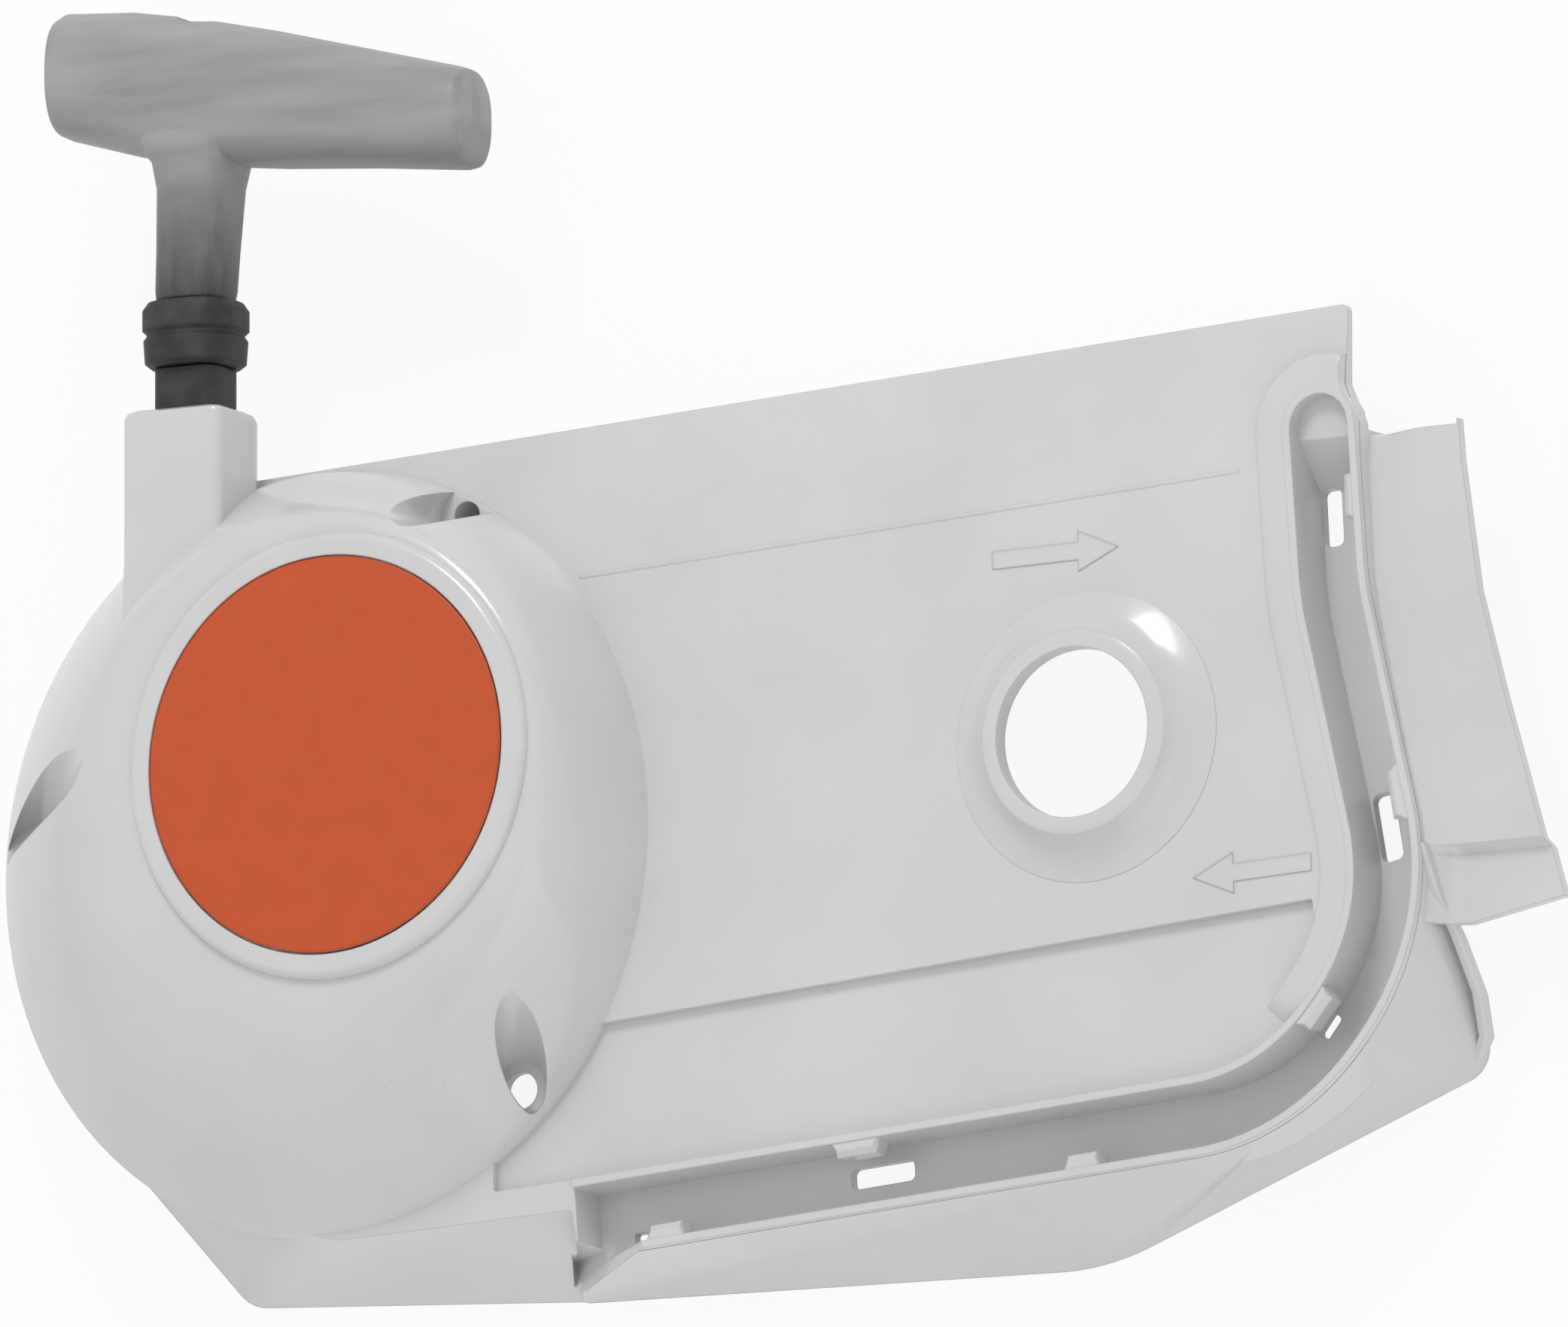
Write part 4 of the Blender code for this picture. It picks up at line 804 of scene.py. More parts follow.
def dome_block(name, inset, drop):
    """The dome as a solid, or the hollow inside it when inset and dropped by a wall."""
    angles = [2.0 * math.pi * step / ROUND_STEPS for step in range(ROUND_STEPS)]
    bottom = -SKIRT_DEPTH - (OVERRUN if inset else 0.0)
    rings = [[(*dome_point(a, inset - SKIRT_DRAFT, 0.0), bottom) for a in angles]]
    for row in range(FLANK_ROWS + 1):
        share = row / FLANK_ROWS
        height = DOME_FLANK_RISE * math.sin(share * math.pi / 2.0) ** FLANK_FULLNESS - drop
        rings.append([(*dome_point(a, inset, share), height) for a in angles])
    top = CEILING if inset else BOSS_TOP
    for row in range(1 if inset else 0, EDGE_ROWS + 1):
        turn = math.pi / 2.0 * row / EDGE_ROWS
        radius = BOSS_RADIUS - inset - BOSS_EDGE * (1.0 - math.cos(turn))
        height = top - BOSS_EDGE * (1.0 - math.sin(turn))
        rings.append(level(circle((0.0, 0.0), radius, ROUND_STEPS), height))
    return loft(name, rings)


def tower_section(y, left, right, front, back, front_edge, back_edge):
    """A rounded section of the rope tower, across the rope."""
    corners = [
        (left, back, back_edge),
        (right, back, back_edge),
        (right, front, front_edge),
        (left, front, front_edge),
    ]
    return [(x, y, z) for x, z in rounded(corners)]


def tower_block():
    """The rope tower as a solid, from inside the dome to its rounded top."""
    left = -ROPE_PITCH_RADIUS - TOWER_WIDTH / 2.0 - TOWER_SHIFT
    right = left + TOWER_WIDTH
    rows = [
        (-0.0120, left + 0.0022, right - 0.0060, TOWER_FRONT + 0.0034),
        (0.0020, left + 0.0008, right - 0.0020, TOWER_FRONT + 0.0030),
        (0.0180, left - 0.0002, right, TOWER_FRONT + 0.0020),
        (0.0400, left, right, TOWER_FRONT),
        (TOWER_TOP - 0.0016, left, right, TOWER_FRONT),
        (TOWER_TOP - 0.0005, left + 0.0004, right - 0.0004, TOWER_FRONT - 0.0004),
        (TOWER_TOP, left + 0.0014, right - 0.0014, TOWER_FRONT - 0.0014),
    ]
    sections = []
    for y, low_x, high_x, front in rows:
        back = TOWER_BACK + max(TOWER_FRONT - front, 0.0)
        section = tower_section(y, low_x, high_x, front, back, TOWER_FRONT_EDGE, TOWER_BACK_EDGE)
        sections.append(section)
    return loft("tower", sections)


def tower_room(name, half_width, half_depth, low, high):
    """A soft-cornered room along the rope, in line with the leaning handle."""
    middle = -ROPE_PITCH_RADIUS + HANDLE_SHIFT
    left, right = middle - half_width, middle + half_width
    front, back = ROPE_HEIGHT + half_depth, ROPE_HEIGHT - half_depth
    rings = [tower_section(y, left, right, front, back, MOUTH_EDGE, MOUTH_EDGE) for y in (low, high)]
    return loft(name, rings)


def tower_hollows():
    """The mouth that the handle seats in, the rope's passage below it and the hole for the bush."""
    passage = (MOUTH_HALF_WIDTH - PASSAGE_STEP, MOUTH_HALF_DEPTH - PASSAGE_STEP)
    low, high = MOUTH_FLOOR_BOTTOM - 2.0 * OVERRUN, MOUTH_FLOOR_TOP + 2.0 * OVERRUN
    return [
        tower_room("mouth", MOUTH_HALF_WIDTH, MOUTH_HALF_DEPTH, MOUTH_FLOOR_TOP, TOWER_TOP + OVERRUN),
        tower_room("passage", *passage, PASSAGE_START, MOUTH_FLOOR_BOTTOM),
        rope_cylinder("bush_hole", BUSH_BODY_RADIUS + GAP, low, high),
    ]


def strip_slope(name, drop):
    """A wedge over the plate's top strip, which falls away towards the plate's top edge."""
    tilt = math.atan2(PLATE_TOP_RIGHT - PLATE_TOP_LEFT, PLATE_RIGHT - PLATE_LEFT)
    slope = math.atan2(TOP_STRIP_FALL, TOP_STRIP_WIDTH)
    work = bmesh.new()
    bmesh.ops.create_cube(work, size=1.0)
    bmesh.ops.scale(work, vec=STRIP_WEDGE, verts=work.verts[:])
    rise = (0.0, STRIP_WEDGE[1] / 2.0, STRIP_WEDGE[2] / 2.0)
    bmesh.ops.translate(work, vec=rise, verts=work.verts[:])
    for angle, axis in ((-slope, "X"), (tilt, "Z")):
        matrix = Matrix.Rotation(angle, 3, axis)
        bmesh.ops.rotate(work, verts=work.verts[:], cent=(0.0, 0.0, 0.0), matrix=matrix)
    crease = (PLATE_RIGHT, PLATE_TOP_RIGHT - TOP_STRIP_WIDTH, -drop)
    bmesh.ops.translate(work, vec=crease, verts=work.verts[:])
    return new_object(name, work)


def ledge_outline(grow):
    """The lower field of the plate, a little below the rest, between the crease and the groove."""
    lip = moved_path(GROOVE_PATH, GROOVE_WIDTH / 2.0 + LIP_THICKNESS / 2.0)
    corners = [
        (0.0200, PLATE_BOTTOM + 0.0336 + grow, 0.0005),
        (0.0200, lip[0][1], 0.0005),
        lip[1],
        (PLATE_RIGHT - 0.0045 + grow, PLATE_BOTTOM + 0.0310, 0.0060),
        (PLATE_RIGHT - 0.0063 + grow, PLATE_BOTTOM + 0.0457 + grow, 0.0005),
    ]
    return rounded(corners, steps=OUTLINE_STEPS)


def pocket_tool(name, foot, lean, grow):
    """The room for a screw and its driver: a leaning round bore, from its floor up through the dome."""
    rings = []
    for height in (POCKET_FLOOR - grow, DOME_FLANK_RISE + 2.0 * BOSS_RISE):
        rise = height - POCKET_FLOOR
        centre = (foot[0] + lean[0] * rise, foot[1] + lean[1] * rise)
        rings.append(level(circle(centre, POCKET_RADIUS + grow, POCKET_STEPS), height))
    return loft(name, rings)


def flange_body():
    """The side flange: a curved strip that leaves the ridge, with a step near its lower end."""
    rows = [
        (0.0, PLATE_RIGHT - 0.0010, PLATE_RIGHT + 0.0203, 0.0012),
        (0.0060, PLATE_RIGHT - 0.0005, PLATE_RIGHT + 0.0216, 0.0),
        (0.0295, PLATE_RIGHT + 0.0022, PLATE_RIGHT + 0.0250, 0.0),
        (0.0475, PLATE_RIGHT + 0.0072, PLATE_RIGHT + 0.0298, 0.0),
        (0.0599, PLATE_RIGHT + 0.0104, PLATE_RIGHT + 0.0334, 0.0),
        (0.0750, PLATE_RIGHT + 0.0135, PLATE_RIGHT + 0.0378, 0.0),
        (0.0765, PLATE_RIGHT + 0.0135, PLATE_RIGHT + 0.0384, FLANGE_STEP),
        (0.0855, PLATE_RIGHT + 0.0135, PLATE_RIGHT + 0.0410, FLANGE_STEP),
    ]
    sections = []
    for down, inner, outer, fall in rows:
        y = FLANGE_TOP - down
        floor = -FLANGE_DROP - fall
        slant = FLANGE_SLANT if down == rows[-1][0] else 0.0
        rise = FLANGE_RISE if down == rows[0][0] else 0.0
        top = [
            (inner, y - slant, 0.0004),
            (inner + 0.0028, y - slant, 0.0002 + floor * 0.35),
            (inner + 0.0050, y - slant, floor * 0.78),
            (inner + 0.0085, y - slant, floor),
            (outer, y + rise, floor),
        ]
        below = [(x, row_y, z - WALL) for x, row_y, z in reversed(top)]
        sections.append(top + below)
    return loft("flange", sections)


def corner_lip():
    """The upstanding lip down the apron's right edge, from the ridge to the rim."""
    path = [
        (0.0163, 0.0540, 0.0008),
        (0.0178, 0.0455, -0.0022),
        (0.0192, 0.0380, -0.0075),
        (0.0196, 0.0290, -0.0145),
        (0.0182, 0.0222, -0.0195),
        (0.0150, 0.0176, -0.0222),
    ]
    sections = []
    for right, up, top in path:
        x, y = PLATE_RIGHT + right, PLATE_BOTTOM + up
        low = max(top - 0.0060, -SKIRT_DEPTH)
        sections.append([
            (x - 0.0060, y, low),
            (x, y, max(top - 0.0030, low + 0.0002)),
            (x, y, top - 0.0004),
            (x - 0.0004, y, top),
            (x - LIP_THICKNESS, y, top),
            (x - LIP_THICKNESS - 0.0003, y, top - 0.0012),
        ])
    return loft("corner_lip", sections)


def beside_groove(share, offset):
    """The place at that share of the groove's long straight, that far to its left."""
    start, end = Vector(GROOVE_PATH[0][:2]), Vector(GROOVE_PATH[1][:2])
    left = (end - start).normalized().orthogonal()
    place = start.lerp(end, share) + left * offset
    return place.x, place.y


def hook_places():
    """Each hook on the groove's wall: its place, the turn of its reach in degrees, and its length."""
    wall = GROOVE_WIDTH / 2.0
    inner_wall = rounded(moved_path(GROOVE_PATH, wall), closed=False, steps=OUTLINE_STEPS)
    return [
        ((PLATE_RIGHT + 0.0032, PLATE_BOTTOM + 0.1174), 182.0, 0.0095),
        ((PLATE_RIGHT - 0.0078, PLATE_BOTTOM + 0.0861), 12.0, 0.0085),
        ((PLATE_RIGHT + 0.0122, PLATE_BOTTOM + 0.0634), 190.0, 0.0110),
        (inner_wall[1 + OUTLINE_STEPS], -40.0, 0.0090),
        (beside_groove(0.720, -wall), 94.0, 0.0075),
        (beside_groove(0.403, wall), -86.0, 0.0100),
        (beside_groove(0.128, -wall), 94.0, 0.0080),
    ]


def make_hook(place, turn, length):
    """A tapered pad on the groove's wall, level with the lip above and open below for the edge."""
    root = length / 2.0
    rings = []
    for height, reach, half in (
        (LIP_RISE - HOOK_HEIGHT, HOOK_REACH, length * 0.36),
        (LIP_RISE - 0.0010, HOOK_REACH, length * 0.40),
        (LIP_RISE - 0.0002, HOOK_REACH * 0.55, length * 0.36),
    ):
        corners = [(-HOOK_ROOT, -root), (reach, -half), (reach, half), (-HOOK_ROOT, root)]
        rings.append(level(turned_outline(corners, place, turn), height))
    return loft("hook", rings)


def slot_places():
    """Each slot through the groove's floor, by its hook: middle, half sizes, and turn in degrees."""
    return [
        ((PLATE_RIGHT - 0.0068, PLATE_BOTTOM + 0.1156), 0.0020, 0.0052, 3.0),
        ((PLATE_RIGHT - 0.0056, PLATE_BOTTOM + 0.0830), 0.0012, 0.0024, 10.0),
        ((PLATE_RIGHT + 0.0042, PLATE_BOTTOM + 0.0590), 0.0022, 0.0062, 10.0),
        ((PLATE_RIGHT - 0.0075, PLATE_BOTTOM + 0.0243), 0.0012, 0.0024, -38.0),
        (beside_groove(0.700, -0.0030), 0.0022, 0.0012, 4.0),
        (beside_groove(0.403, 0.0011), 0.0064, 0.0019, 4.0),
        (beside_groove(0.056, -0.0030), 0.0013, 0.0009, 4.0),
    ]


def groove_slots():
    """The rooms of the slots through the groove's floor."""
    low, high = -GROOVE_DEPTH - WALL - OVERRUN, -GROOVE_DEPTH + OVERRUN
    tools = []
    for place, half_x, half_y, turn in slot_places():
        corners = [(-half_x, -half_y), (half_x, -half_y), (half_x, half_y), (-half_x, half_y)]
        rounding = min(half_x, half_y) * 0.6
        outline = [(x, y, rounding) for x, y in turned_outline(corners, place, turn)]
        tools.append(prism("slot", rounded(outline), low, high))
    return tools


def run_out(name, grow):
    """The room over the ramp by which the groove's outer wall falls to the rim at its open end."""
    mouth = GROOVE_PATH[0][0]
    start, foot = mouth + RUN_OUT_START + grow, mouth + RUN_OUT_FOOT
    near, far = PLATE_BOTTOM - GROOVE_WIDTH / 2.0 + 0.0020 + grow, PLATE_BOTTOM - 0.0200
    top, low = LIP_RISE + 0.0020, -SKIRT_DEPTH + 0.0040
    profile = [
        (start, top),
        (start, LIP_RISE - grow),
        (foot, low - grow),
        (foot - 0.0004 - grow, low - grow),
        (mouth - grow, top),
    ]
    return loft(name, [[(x, y, z) for x, z in profile] for y in (far, near)])


def groove_tool():
    """The groove's room, with a floor that scoops up to its round end."""
    outline = channel_outline(GROOVE_PATH, GROOVE_WIDTH / 2.0)
    groove = prism("groove", outline, -GROOVE_DEPTH, CLEAR)
    middle, end = GROOVE_PATH[-1][0], GROOVE_PATH[-1][1] + GROOVE_WIDTH / 2.0 + OVERRUN
    low = -GROOVE_DEPTH - OVERRUN
    ramp = [
        (end - SCOOP_LENGTH, low),
        (end - SCOOP_LENGTH, low + OVERRUN),
        (end - SCOOP_LENGTH * 0.50, low + OVERRUN + SCOOP_RISE * 0.90),
        (end, low + OVERRUN + SCOOP_RISE),
        (end, low),
    ]
    cut(groove, extruded("scoop", ramp, middle - GROOVE_WIDTH, middle + GROOVE_WIDTH))
    return groove


def open_edge():
    """The room right of the plate's upper corner, where only the plate's edge is left of the skirt."""
    left, right = PLATE_RIGHT - 0.0135, PLATE_RIGHT + 0.0200
    low, high = FLANGE_TOP + 0.0008, PLATE_TOP_RIGHT + 0.0100
    outline = [(left, low), (right, low), (right, high), (left, high)]
    return prism("open_edge", outline, -SKIRT_DEPTH - OVERRUN, -OPEN_EDGE_DEPTH)


def berm_body(outer_half):
    """The pillowed band left of the groove, which wraps its round end and runs out at its lower one."""
    lower, upper = Vector(GROOVE_PATH[1][:2]), Vector(GROOVE_PATH[2][:2])
    rows = [
        (outer_half + BERM_WIDTH, -LEDGE_RECESS - 0.0003, 0.30),
        (outer_half + BERM_WIDTH - 0.0008, LIP_RISE * 0.30, 0.38),
        (outer_half + BERM_WIDTH - 0.0024, LIP_RISE * 0.80, 0.44),
        (outer_half - OFFSET, LIP_RISE - OFFSET, 0.49),
    ]
    rings = []
    for half, height, share in rows:
        start = lower.lerp(upper, share)
        rings.append(level(channel_outline([(*start, 0.0), *GROOVE_PATH[2:]], half), height))
    berm = loft("berm", rings)
    edge = rounded(moved_path(face_corners(), OFFSET, closed=True), steps=OUTLINE_STEPS)
    boolean(berm, prism("berm_limit", edge, -CLEAR, CLEAR), "INTERSECT")
    return berm


def collar_block():
    """The raised cone round the through hole."""
    profile = [
        (0.0, -OVERRUN),
        (COLLAR_FOOT_RADIUS, -OVERRUN),
        (COLLAR_FOOT_RADIUS, OFFSET),
        (COLLAR_FOOT_RADIUS - 0.0038, 0.22 * COLLAR_RISE),
        (COLLAR_FOOT_RADIUS - 0.0068, 0.60 * COLLAR_RISE),
        (HOLE_RADIUS + 0.0030, 0.92 * COLLAR_RISE),
        (HOLE_RADIUS + 0.0018, COLLAR_RISE),
        (0.0, COLLAR_RISE),
    ]
    return turned("collar", profile, (*HOLE_PLACE, 0.0))


def collar_hollow():
    """The hollow under that cone."""
    profile = [
        (0.0, -0.0030),
        (COLLAR_FOOT_RADIUS - 0.0030, -0.0030),
        (COLLAR_FOOT_RADIUS - 0.0060, 0.22 * COLLAR_RISE - 0.0016),
        (COLLAR_FOOT_RADIUS - 0.0092, 0.60 * COLLAR_RISE - 0.0008),
        (0.0, 0.60 * COLLAR_RISE - 0.0008),
    ]
    return turned("collar_hollow", profile, (*HOLE_PLACE, 0.0))


def housing_block():
    """The whole outside of the moulding, as a solid."""
    outer_half = GROOVE_WIDTH / 2.0 + LIP_THICKNESS
    housing = plate_block("cover_shell", 0.0, 0.0)
    ledge = prism("ledge", ledge_outline(0.0), -LEDGE_RECESS, OVERRUN)
    cut(housing, ledge, strip_slope("slope", 0.0))
    lip_outline = channel_outline(GROOVE_PATH, outer_half - OFFSET)
    lip = prism("lip", lip_outline, -GROOVE_DEPTH - WALL, LIP_RISE)
    join(housing, berm_body(outer_half), lip, collar_block(), flange_body(), corner_lip())
    join(housing, dome_block("dome", 0.0, 0.0), tower_block())
    return housing


def housing_hollow():
    """Everything inside the moulding's walls, as a solid."""
    hollow = plate_block("hollow", WALL, -WALL)
    ledge_floor = prism("ledge_floor", ledge_outline(WALL), -LEDGE_RECESS - WALL, OVERRUN)
    cut(hollow, ledge_floor, strip_slope("slope_floor", WALL))
    join(hollow, dome_block("dome_hollow", WALL, HOLLOW_DROP))
    channel = channel_outline(GROOVE_PATH, GROOVE_WIDTH / 2.0 + WALL, WALL)
    groove_floor = prism("groove_floor", channel, -GROOVE_DEPTH - WALL, OVERRUN)
    cut(hollow, groove_floor, run_out("run_out_floor", RUN_OUT_WALL))
    for foot, lean, has_tube in POCKETS:
        cut(hollow, pocket_tool("pocket_wall", foot, lean, WALL))
        if has_tube:
            radius = SCREW_HOLE_RADIUS + WALL
            cut(hollow, cylinder("tube", radius, SCREW_TUBE_END, POCKET_FLOOR, foot))
    cut(hollow, cylinder("post_boss", POST_BOSS_RADIUS, CEILING - POST_BOSS_DEPTH, ABOVE_ALL))
    join(hollow, collar_hollow())
    cut(hollow, cylinder("hole_wall", HOLE_RADIUS + HOLE_WALL, HOLE_WALL_LOW, ABOVE_ALL, HOLE_PLACE))
    return hollow


def make_cover_shell():
    """The moulded cover: its outside, less its hollow and every opening, and its hooks."""
    housing = housing_block()
    cut(housing, housing_hollow(), open_edge(), *tower_hollows())
    cut(housing, groove_tool(), run_out("run_out", 0.0), *groove_slots())
    for foot, lean, has_tube in POCKETS:
        low = SCREW_TUBE_END if has_tube else POCKET_FLOOR - WALL
        radius = SCREW_HOLE_RADIUS if has_tube else WIDE_HOLE_RADIUS
        hole = cylinder("screw_hole", radius, low - OVERRUN, POCKET_FLOOR + OVERRUN, foot)
        cut(housing, pocket_tool("pocket", foot, lean, 0.0), hole)
    cut(housing, cylinder("hole", HOLE_RADIUS, HOLE_LOW, HOLE_HIGH, HOLE_PLACE))
    cut(housing, cylinder("disc_recess", DISC_RADIUS + GAP, BOSS_TOP - DISC_RECESS, BOSS_TOP + CLEAR))
    cut(housing, cylinder("post_socket", POST_RADIUS + GAP, 0.0, CEILING + POST_SOCKET_DEPTH))
    join(housing, *[make_hook(*hook) for hook in hook_places()])
    return housing


def soft_ring(half_across, half_up, squareness):
    """Offsets round a soft-cornered section."""
    ring = []
    for step in range(HANDLE_STEPS):
        angle = 2.0 * math.pi * step / HANDLE_STEPS
        across, up = math.cos(angle), math.sin(angle)
        ring.append((
            half_across * math.copysign(abs(across) ** (2.0 / squareness), across),
            half_up * math.copysign(abs(up) ** (2.0 / squareness), up),
        ))
    return ring


def stem_section(y, half_x, half_z, shift=0.0, squareness=STEM_SQUARENESS):
    """A section across the rope, of the handle's stem, collar or insert."""
    middle = -ROPE_PITCH_RADIUS + shift
    return [(middle + x, y, ROPE_HEIGHT + z) for x, z in soft_ring(half_x, half_z, squareness)]


def bar_section(x, centre_y, half_y, half_z):
    """A section of the handle's cross bar."""
    ring = soft_ring(half_y, half_z, BAR_SQUARENESS)
    return [(-ROPE_PITCH_RADIUS + x, centre_y + y, ROPE_HEIGHT + z) for y, z in ring]


def cross_bar():
    """The handle's cross bar, which droops to the right."""
    half, deep = GRIP_HEIGHT / 2.0, GRIP_DEPTH / 2.0
    left, right = -GRIP_LENGTH_LEFT, GRIP_LENGTH_RIGHT
    rows = [
        (left, 0.0044, 0.66, 0.66),
        (left + 0.0008, 0.0044, 0.80, 0.80),
        (left + 0.0028, 0.0044, 0.87, 0.87),
        (left * 0.45, 0.0020, 0.98, 0.98),
        (0.0, -0.0005, 1.0, 1.0),
        (right * 0.30, -0.0034, 0.93, 0.97),
        (right * 0.65, -0.0068, 0.80, 0.88),
        (right - 0.0022, -0.0100, 0.70, 0.80),
        (right - 0.0006, -0.0102, 0.67, 0.77),
        (right, -0.0102, 0.60, 0.68),
    ]
    rings = []
    for x, rise, tall, thick in rows:
        rings.append(bar_section(x, BAR_MIDDLE + rise, half * tall, deep * thick))
    return loft("handle_bar", rings)


def stem():
    """The stem under the bar, which flares into it."""
    low, half = COLLAR_TOP + GAP, GRIP_HEIGHT / 2.0
    across, thick = STEM_WIDTH / 2.0, STEM_DEPTH / 2.0
    rows = [
        (low, 0.92, 0.92, 1.0),
        (low + 0.0020, 0.96, 0.96, 0.9),
        (low + 0.0090, 0.98, 0.98, 0.6),
        (BAR_MIDDLE - half - 0.0050, 1.04, 1.04, 0.1),
        (BAR_MIDDLE - half, 1.20, 1.10, 0.0),
        (BAR_MIDDLE - half + 0.0035, 1.65, 1.18, 0.0),
        (BAR_MIDDLE - half * 0.40, 1.90, 1.12, 0.0),
    ]
    rings = []
    for y, wide, deep, lean in rows:
        rings.append(stem_section(y, across * wide, thick * deep, HANDLE_SHIFT * lean))
    return loft("stem", rings)


def make_grip():
    """Cross bar on its stem, bored for the rope, with a pocket for the rope's knot."""
    grip = cross_bar()
    join(grip, stem())
    low, top = COLLAR_TOP + GAP - OVERRUN, BAR_MIDDLE + GRIP_HEIGHT / 2.0 + 3.0 * OVERRUN
    cut(grip, rope_cylinder("bore", ROPE_RADIUS + GAP, low, BAR_MIDDLE))
    cut(grip, rope_cylinder("knot_pocket", KNOT_POCKET_RADIUS, BAR_MIDDLE - KNOT_POCKET_DEPTH, top))
    return grip


def bored_sleeve(name, rows, half_x, half_z, squareness):
    """A sleeve round the rope from rows of (height, share of the half sizes), with its bore."""
    rings = []
    for y, share in rows:
        rings.append(stem_section(y, half_x * share, half_z * share, HANDLE_SHIFT, squareness))
    sleeve = loft(name, rings)
    low, high = rows[0][0] - OVERRUN, rows[-1][0] + OVERRUN
    cut(sleeve, rope_cylinder("bore", ROPE_RADIUS + GAP, low, high))
    return sleeve


def make_grip_collar():
    """Two soft bands with a groove between them, under the stem."""
    half = COLLAR_WIDTH / 2.0
    shares = (
        (0.0, 0.84),
        (0.07, 0.95),
        (0.42, 0.98),
        (0.48, 0.92),
        (0.52, 0.92),
        (0.58, 1.0),
        (0.88, 1.0),
        (1.0, 0.90),
    )
    rows = [(COLLAR_BOTTOM + COLLAR_HEIGHT * height, share) for height, share in shares]
    return bored_sleeve("handle_collar", rows, half, half * 0.92, STEM_SQUARENESS)


def make_grip_insert():
    """Narrow nozzle below the collar that seats in the tower's mouth."""
    rows = [(INSERT_BOTTOM, 0.90), (INSERT_BOTTOM + 0.0010, 1.0), (COLLAR_BOTTOM - GAP, 1.0)]
    return bored_sleeve("handle_insert", rows, INSERT_WIDTH / 2.0, INSERT_DEPTH / 2.0, INSERT_SQUARENESS)


def seat(made):
    """Moves a piece from the rotor's axis and the plate's face to its place in the frame."""
    made.data.transform(Matrix.Translation(PLACE))


def make_arrow(name, tail, tip):
    """A low raised arrow on the plate, with its head at the tip."""
    length = (tip[0] - tail[0], tip[1] - tail[1])
    reach = math.hypot(*length)
    shaft, head = ARROW_SHAFT / 2.0, ARROW_HEAD / 2.0
    neck = reach - ARROW_HEAD_LENGTH
    below = [(0.0, -shaft), (neck, -shaft), (neck, -head), (reach, 0.0)]
    above = [(neck, head), (neck, shaft), (0.0, shaft)]
    work = bmesh.new()
    corners = ring_edges(work, level(below + above, 0.0))
    face = bmesh.ops.contextual_create(work, geom=corners)["faces"]
    grown = bmesh.ops.extrude_face_region(work, geom=face)["geom"]
    top = [part for part in grown if isinstance(part, bmesh.types.BMVert)]
    bmesh.ops.translate(work, verts=top, vec=(0.0, 0.0, ARROW_RISE + ARROW_ROOT))
    lid = [part for part in grown if isinstance(part, bmesh.types.BMFace)]
    bmesh.ops.inset_region(work, faces=lid, thickness=ARROW_BAND, depth=0.0)
    bmesh.ops.translate(work, verts=lid[0].verts[:], vec=(0.0, 0.0, -ARROW_SINK))
    turn = Matrix.Rotation(math.atan2(length[1], length[0]), 3, "Z")
    bmesh.ops.rotate(work, verts=work.verts[:], cent=(0.0, 0.0, 0.0), matrix=turn)
    bmesh.ops.translate(work, verts=work.verts[:], vec=(*tail, -ARROW_ROOT))
    return new_object(name, work)


def dress(made, body, slot, material, sharp_angle, *nodes):
    """Welds and finishes a piece, in its body and in the stead of the nodes that it stands for."""
    mesh = made.data
    work = bmesh.new()
    work.from_mesh(mesh)
    bmesh.ops.remove_doubles(work, verts=work.verts[:], dist=WELD)
    bmesh.ops.dissolve_degenerate(work, edges=work.edges[:], dist=WELD / 2)
    work.to_mesh(mesh)
    work.free()
    mesh.materials.clear()
    mesh.materials.append(material)
    mesh.shade_smooth()
    mesh.set_sharp_from_angle(angle=sharp_angle)
    even = made.modifiers.new("Even normals", "WEIGHTED_NORMAL")
    even.keep_sharp = True
    if body is not None:
        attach(made, body)
    if nodes:
        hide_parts(*nodes)


def node_copy(node, name):
    """A new object with a copy of a CAD node's mesh."""
    made = bpy.data.objects.new(name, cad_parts[node].data.copy())
    made.data.name = name
    bpy.context.scene.collection.objects.link(made)
    return made


def dress_copy(node, body, slot, material, name, sharp_angle):
    """A CAD node's own mesh as a finished piece."""
    dress(node_copy(node, name), body, slot, material, sharp_angle, node)


def stretch_rope(material, sharp_angle):
    """The straight rope, which stays in the tower at one end and leaves with the handle at the other.

    Its length is divided into short rings, so that it can stretch evenly.
    """
    rope = node_copy("rope_run", "rope_stretch")
    work = bmesh.new()
    work.from_mesh(rope.data)
    bmesh.ops.remove_doubles(work, verts=work.verts[:], dist=WELD)
    for step in range(1, ROPE_RINGS):
        place = (0.0, ROPE_LOW.y + (ROPE_HIGH.y - ROPE_LOW.y) * step / ROPE_RINGS, 0.0)
        geometry = work.verts[:] + work.edges[:] + work.faces[:]
        bmesh.ops.bisect_plane(work, geom=geometry, plane_co=place, plane_no=(0.0, 1.0, 0.0))
    work.to_mesh(rope.data)
    work.free()
    dress(rope, None, "rope_fibre", material, sharp_angle, "rope_run")
    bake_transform(rope)


def make_crease(name):
    """The fine raised line along which the plate's top strip falls away."""
    start, end = Vector(CREASE_START), Vector(CREASE_END)
    aside = (end - start).normalized().orthogonal() * CREASE_WIDTH
    rings = []
    for place in (start, end):
        left, right = place + aside / 2.0, place - aside / 2.0
        rings.append([
            (left.x, left.y, -CREASE_WIDTH),
            (left.x, left.y, 0.0),
            (place.x, place.y, CREASE_RISE),
            (right.x, right.y, 0.0),
            (right.x, right.y, -CREASE_WIDTH),
        ])
    return loft(name, rings)


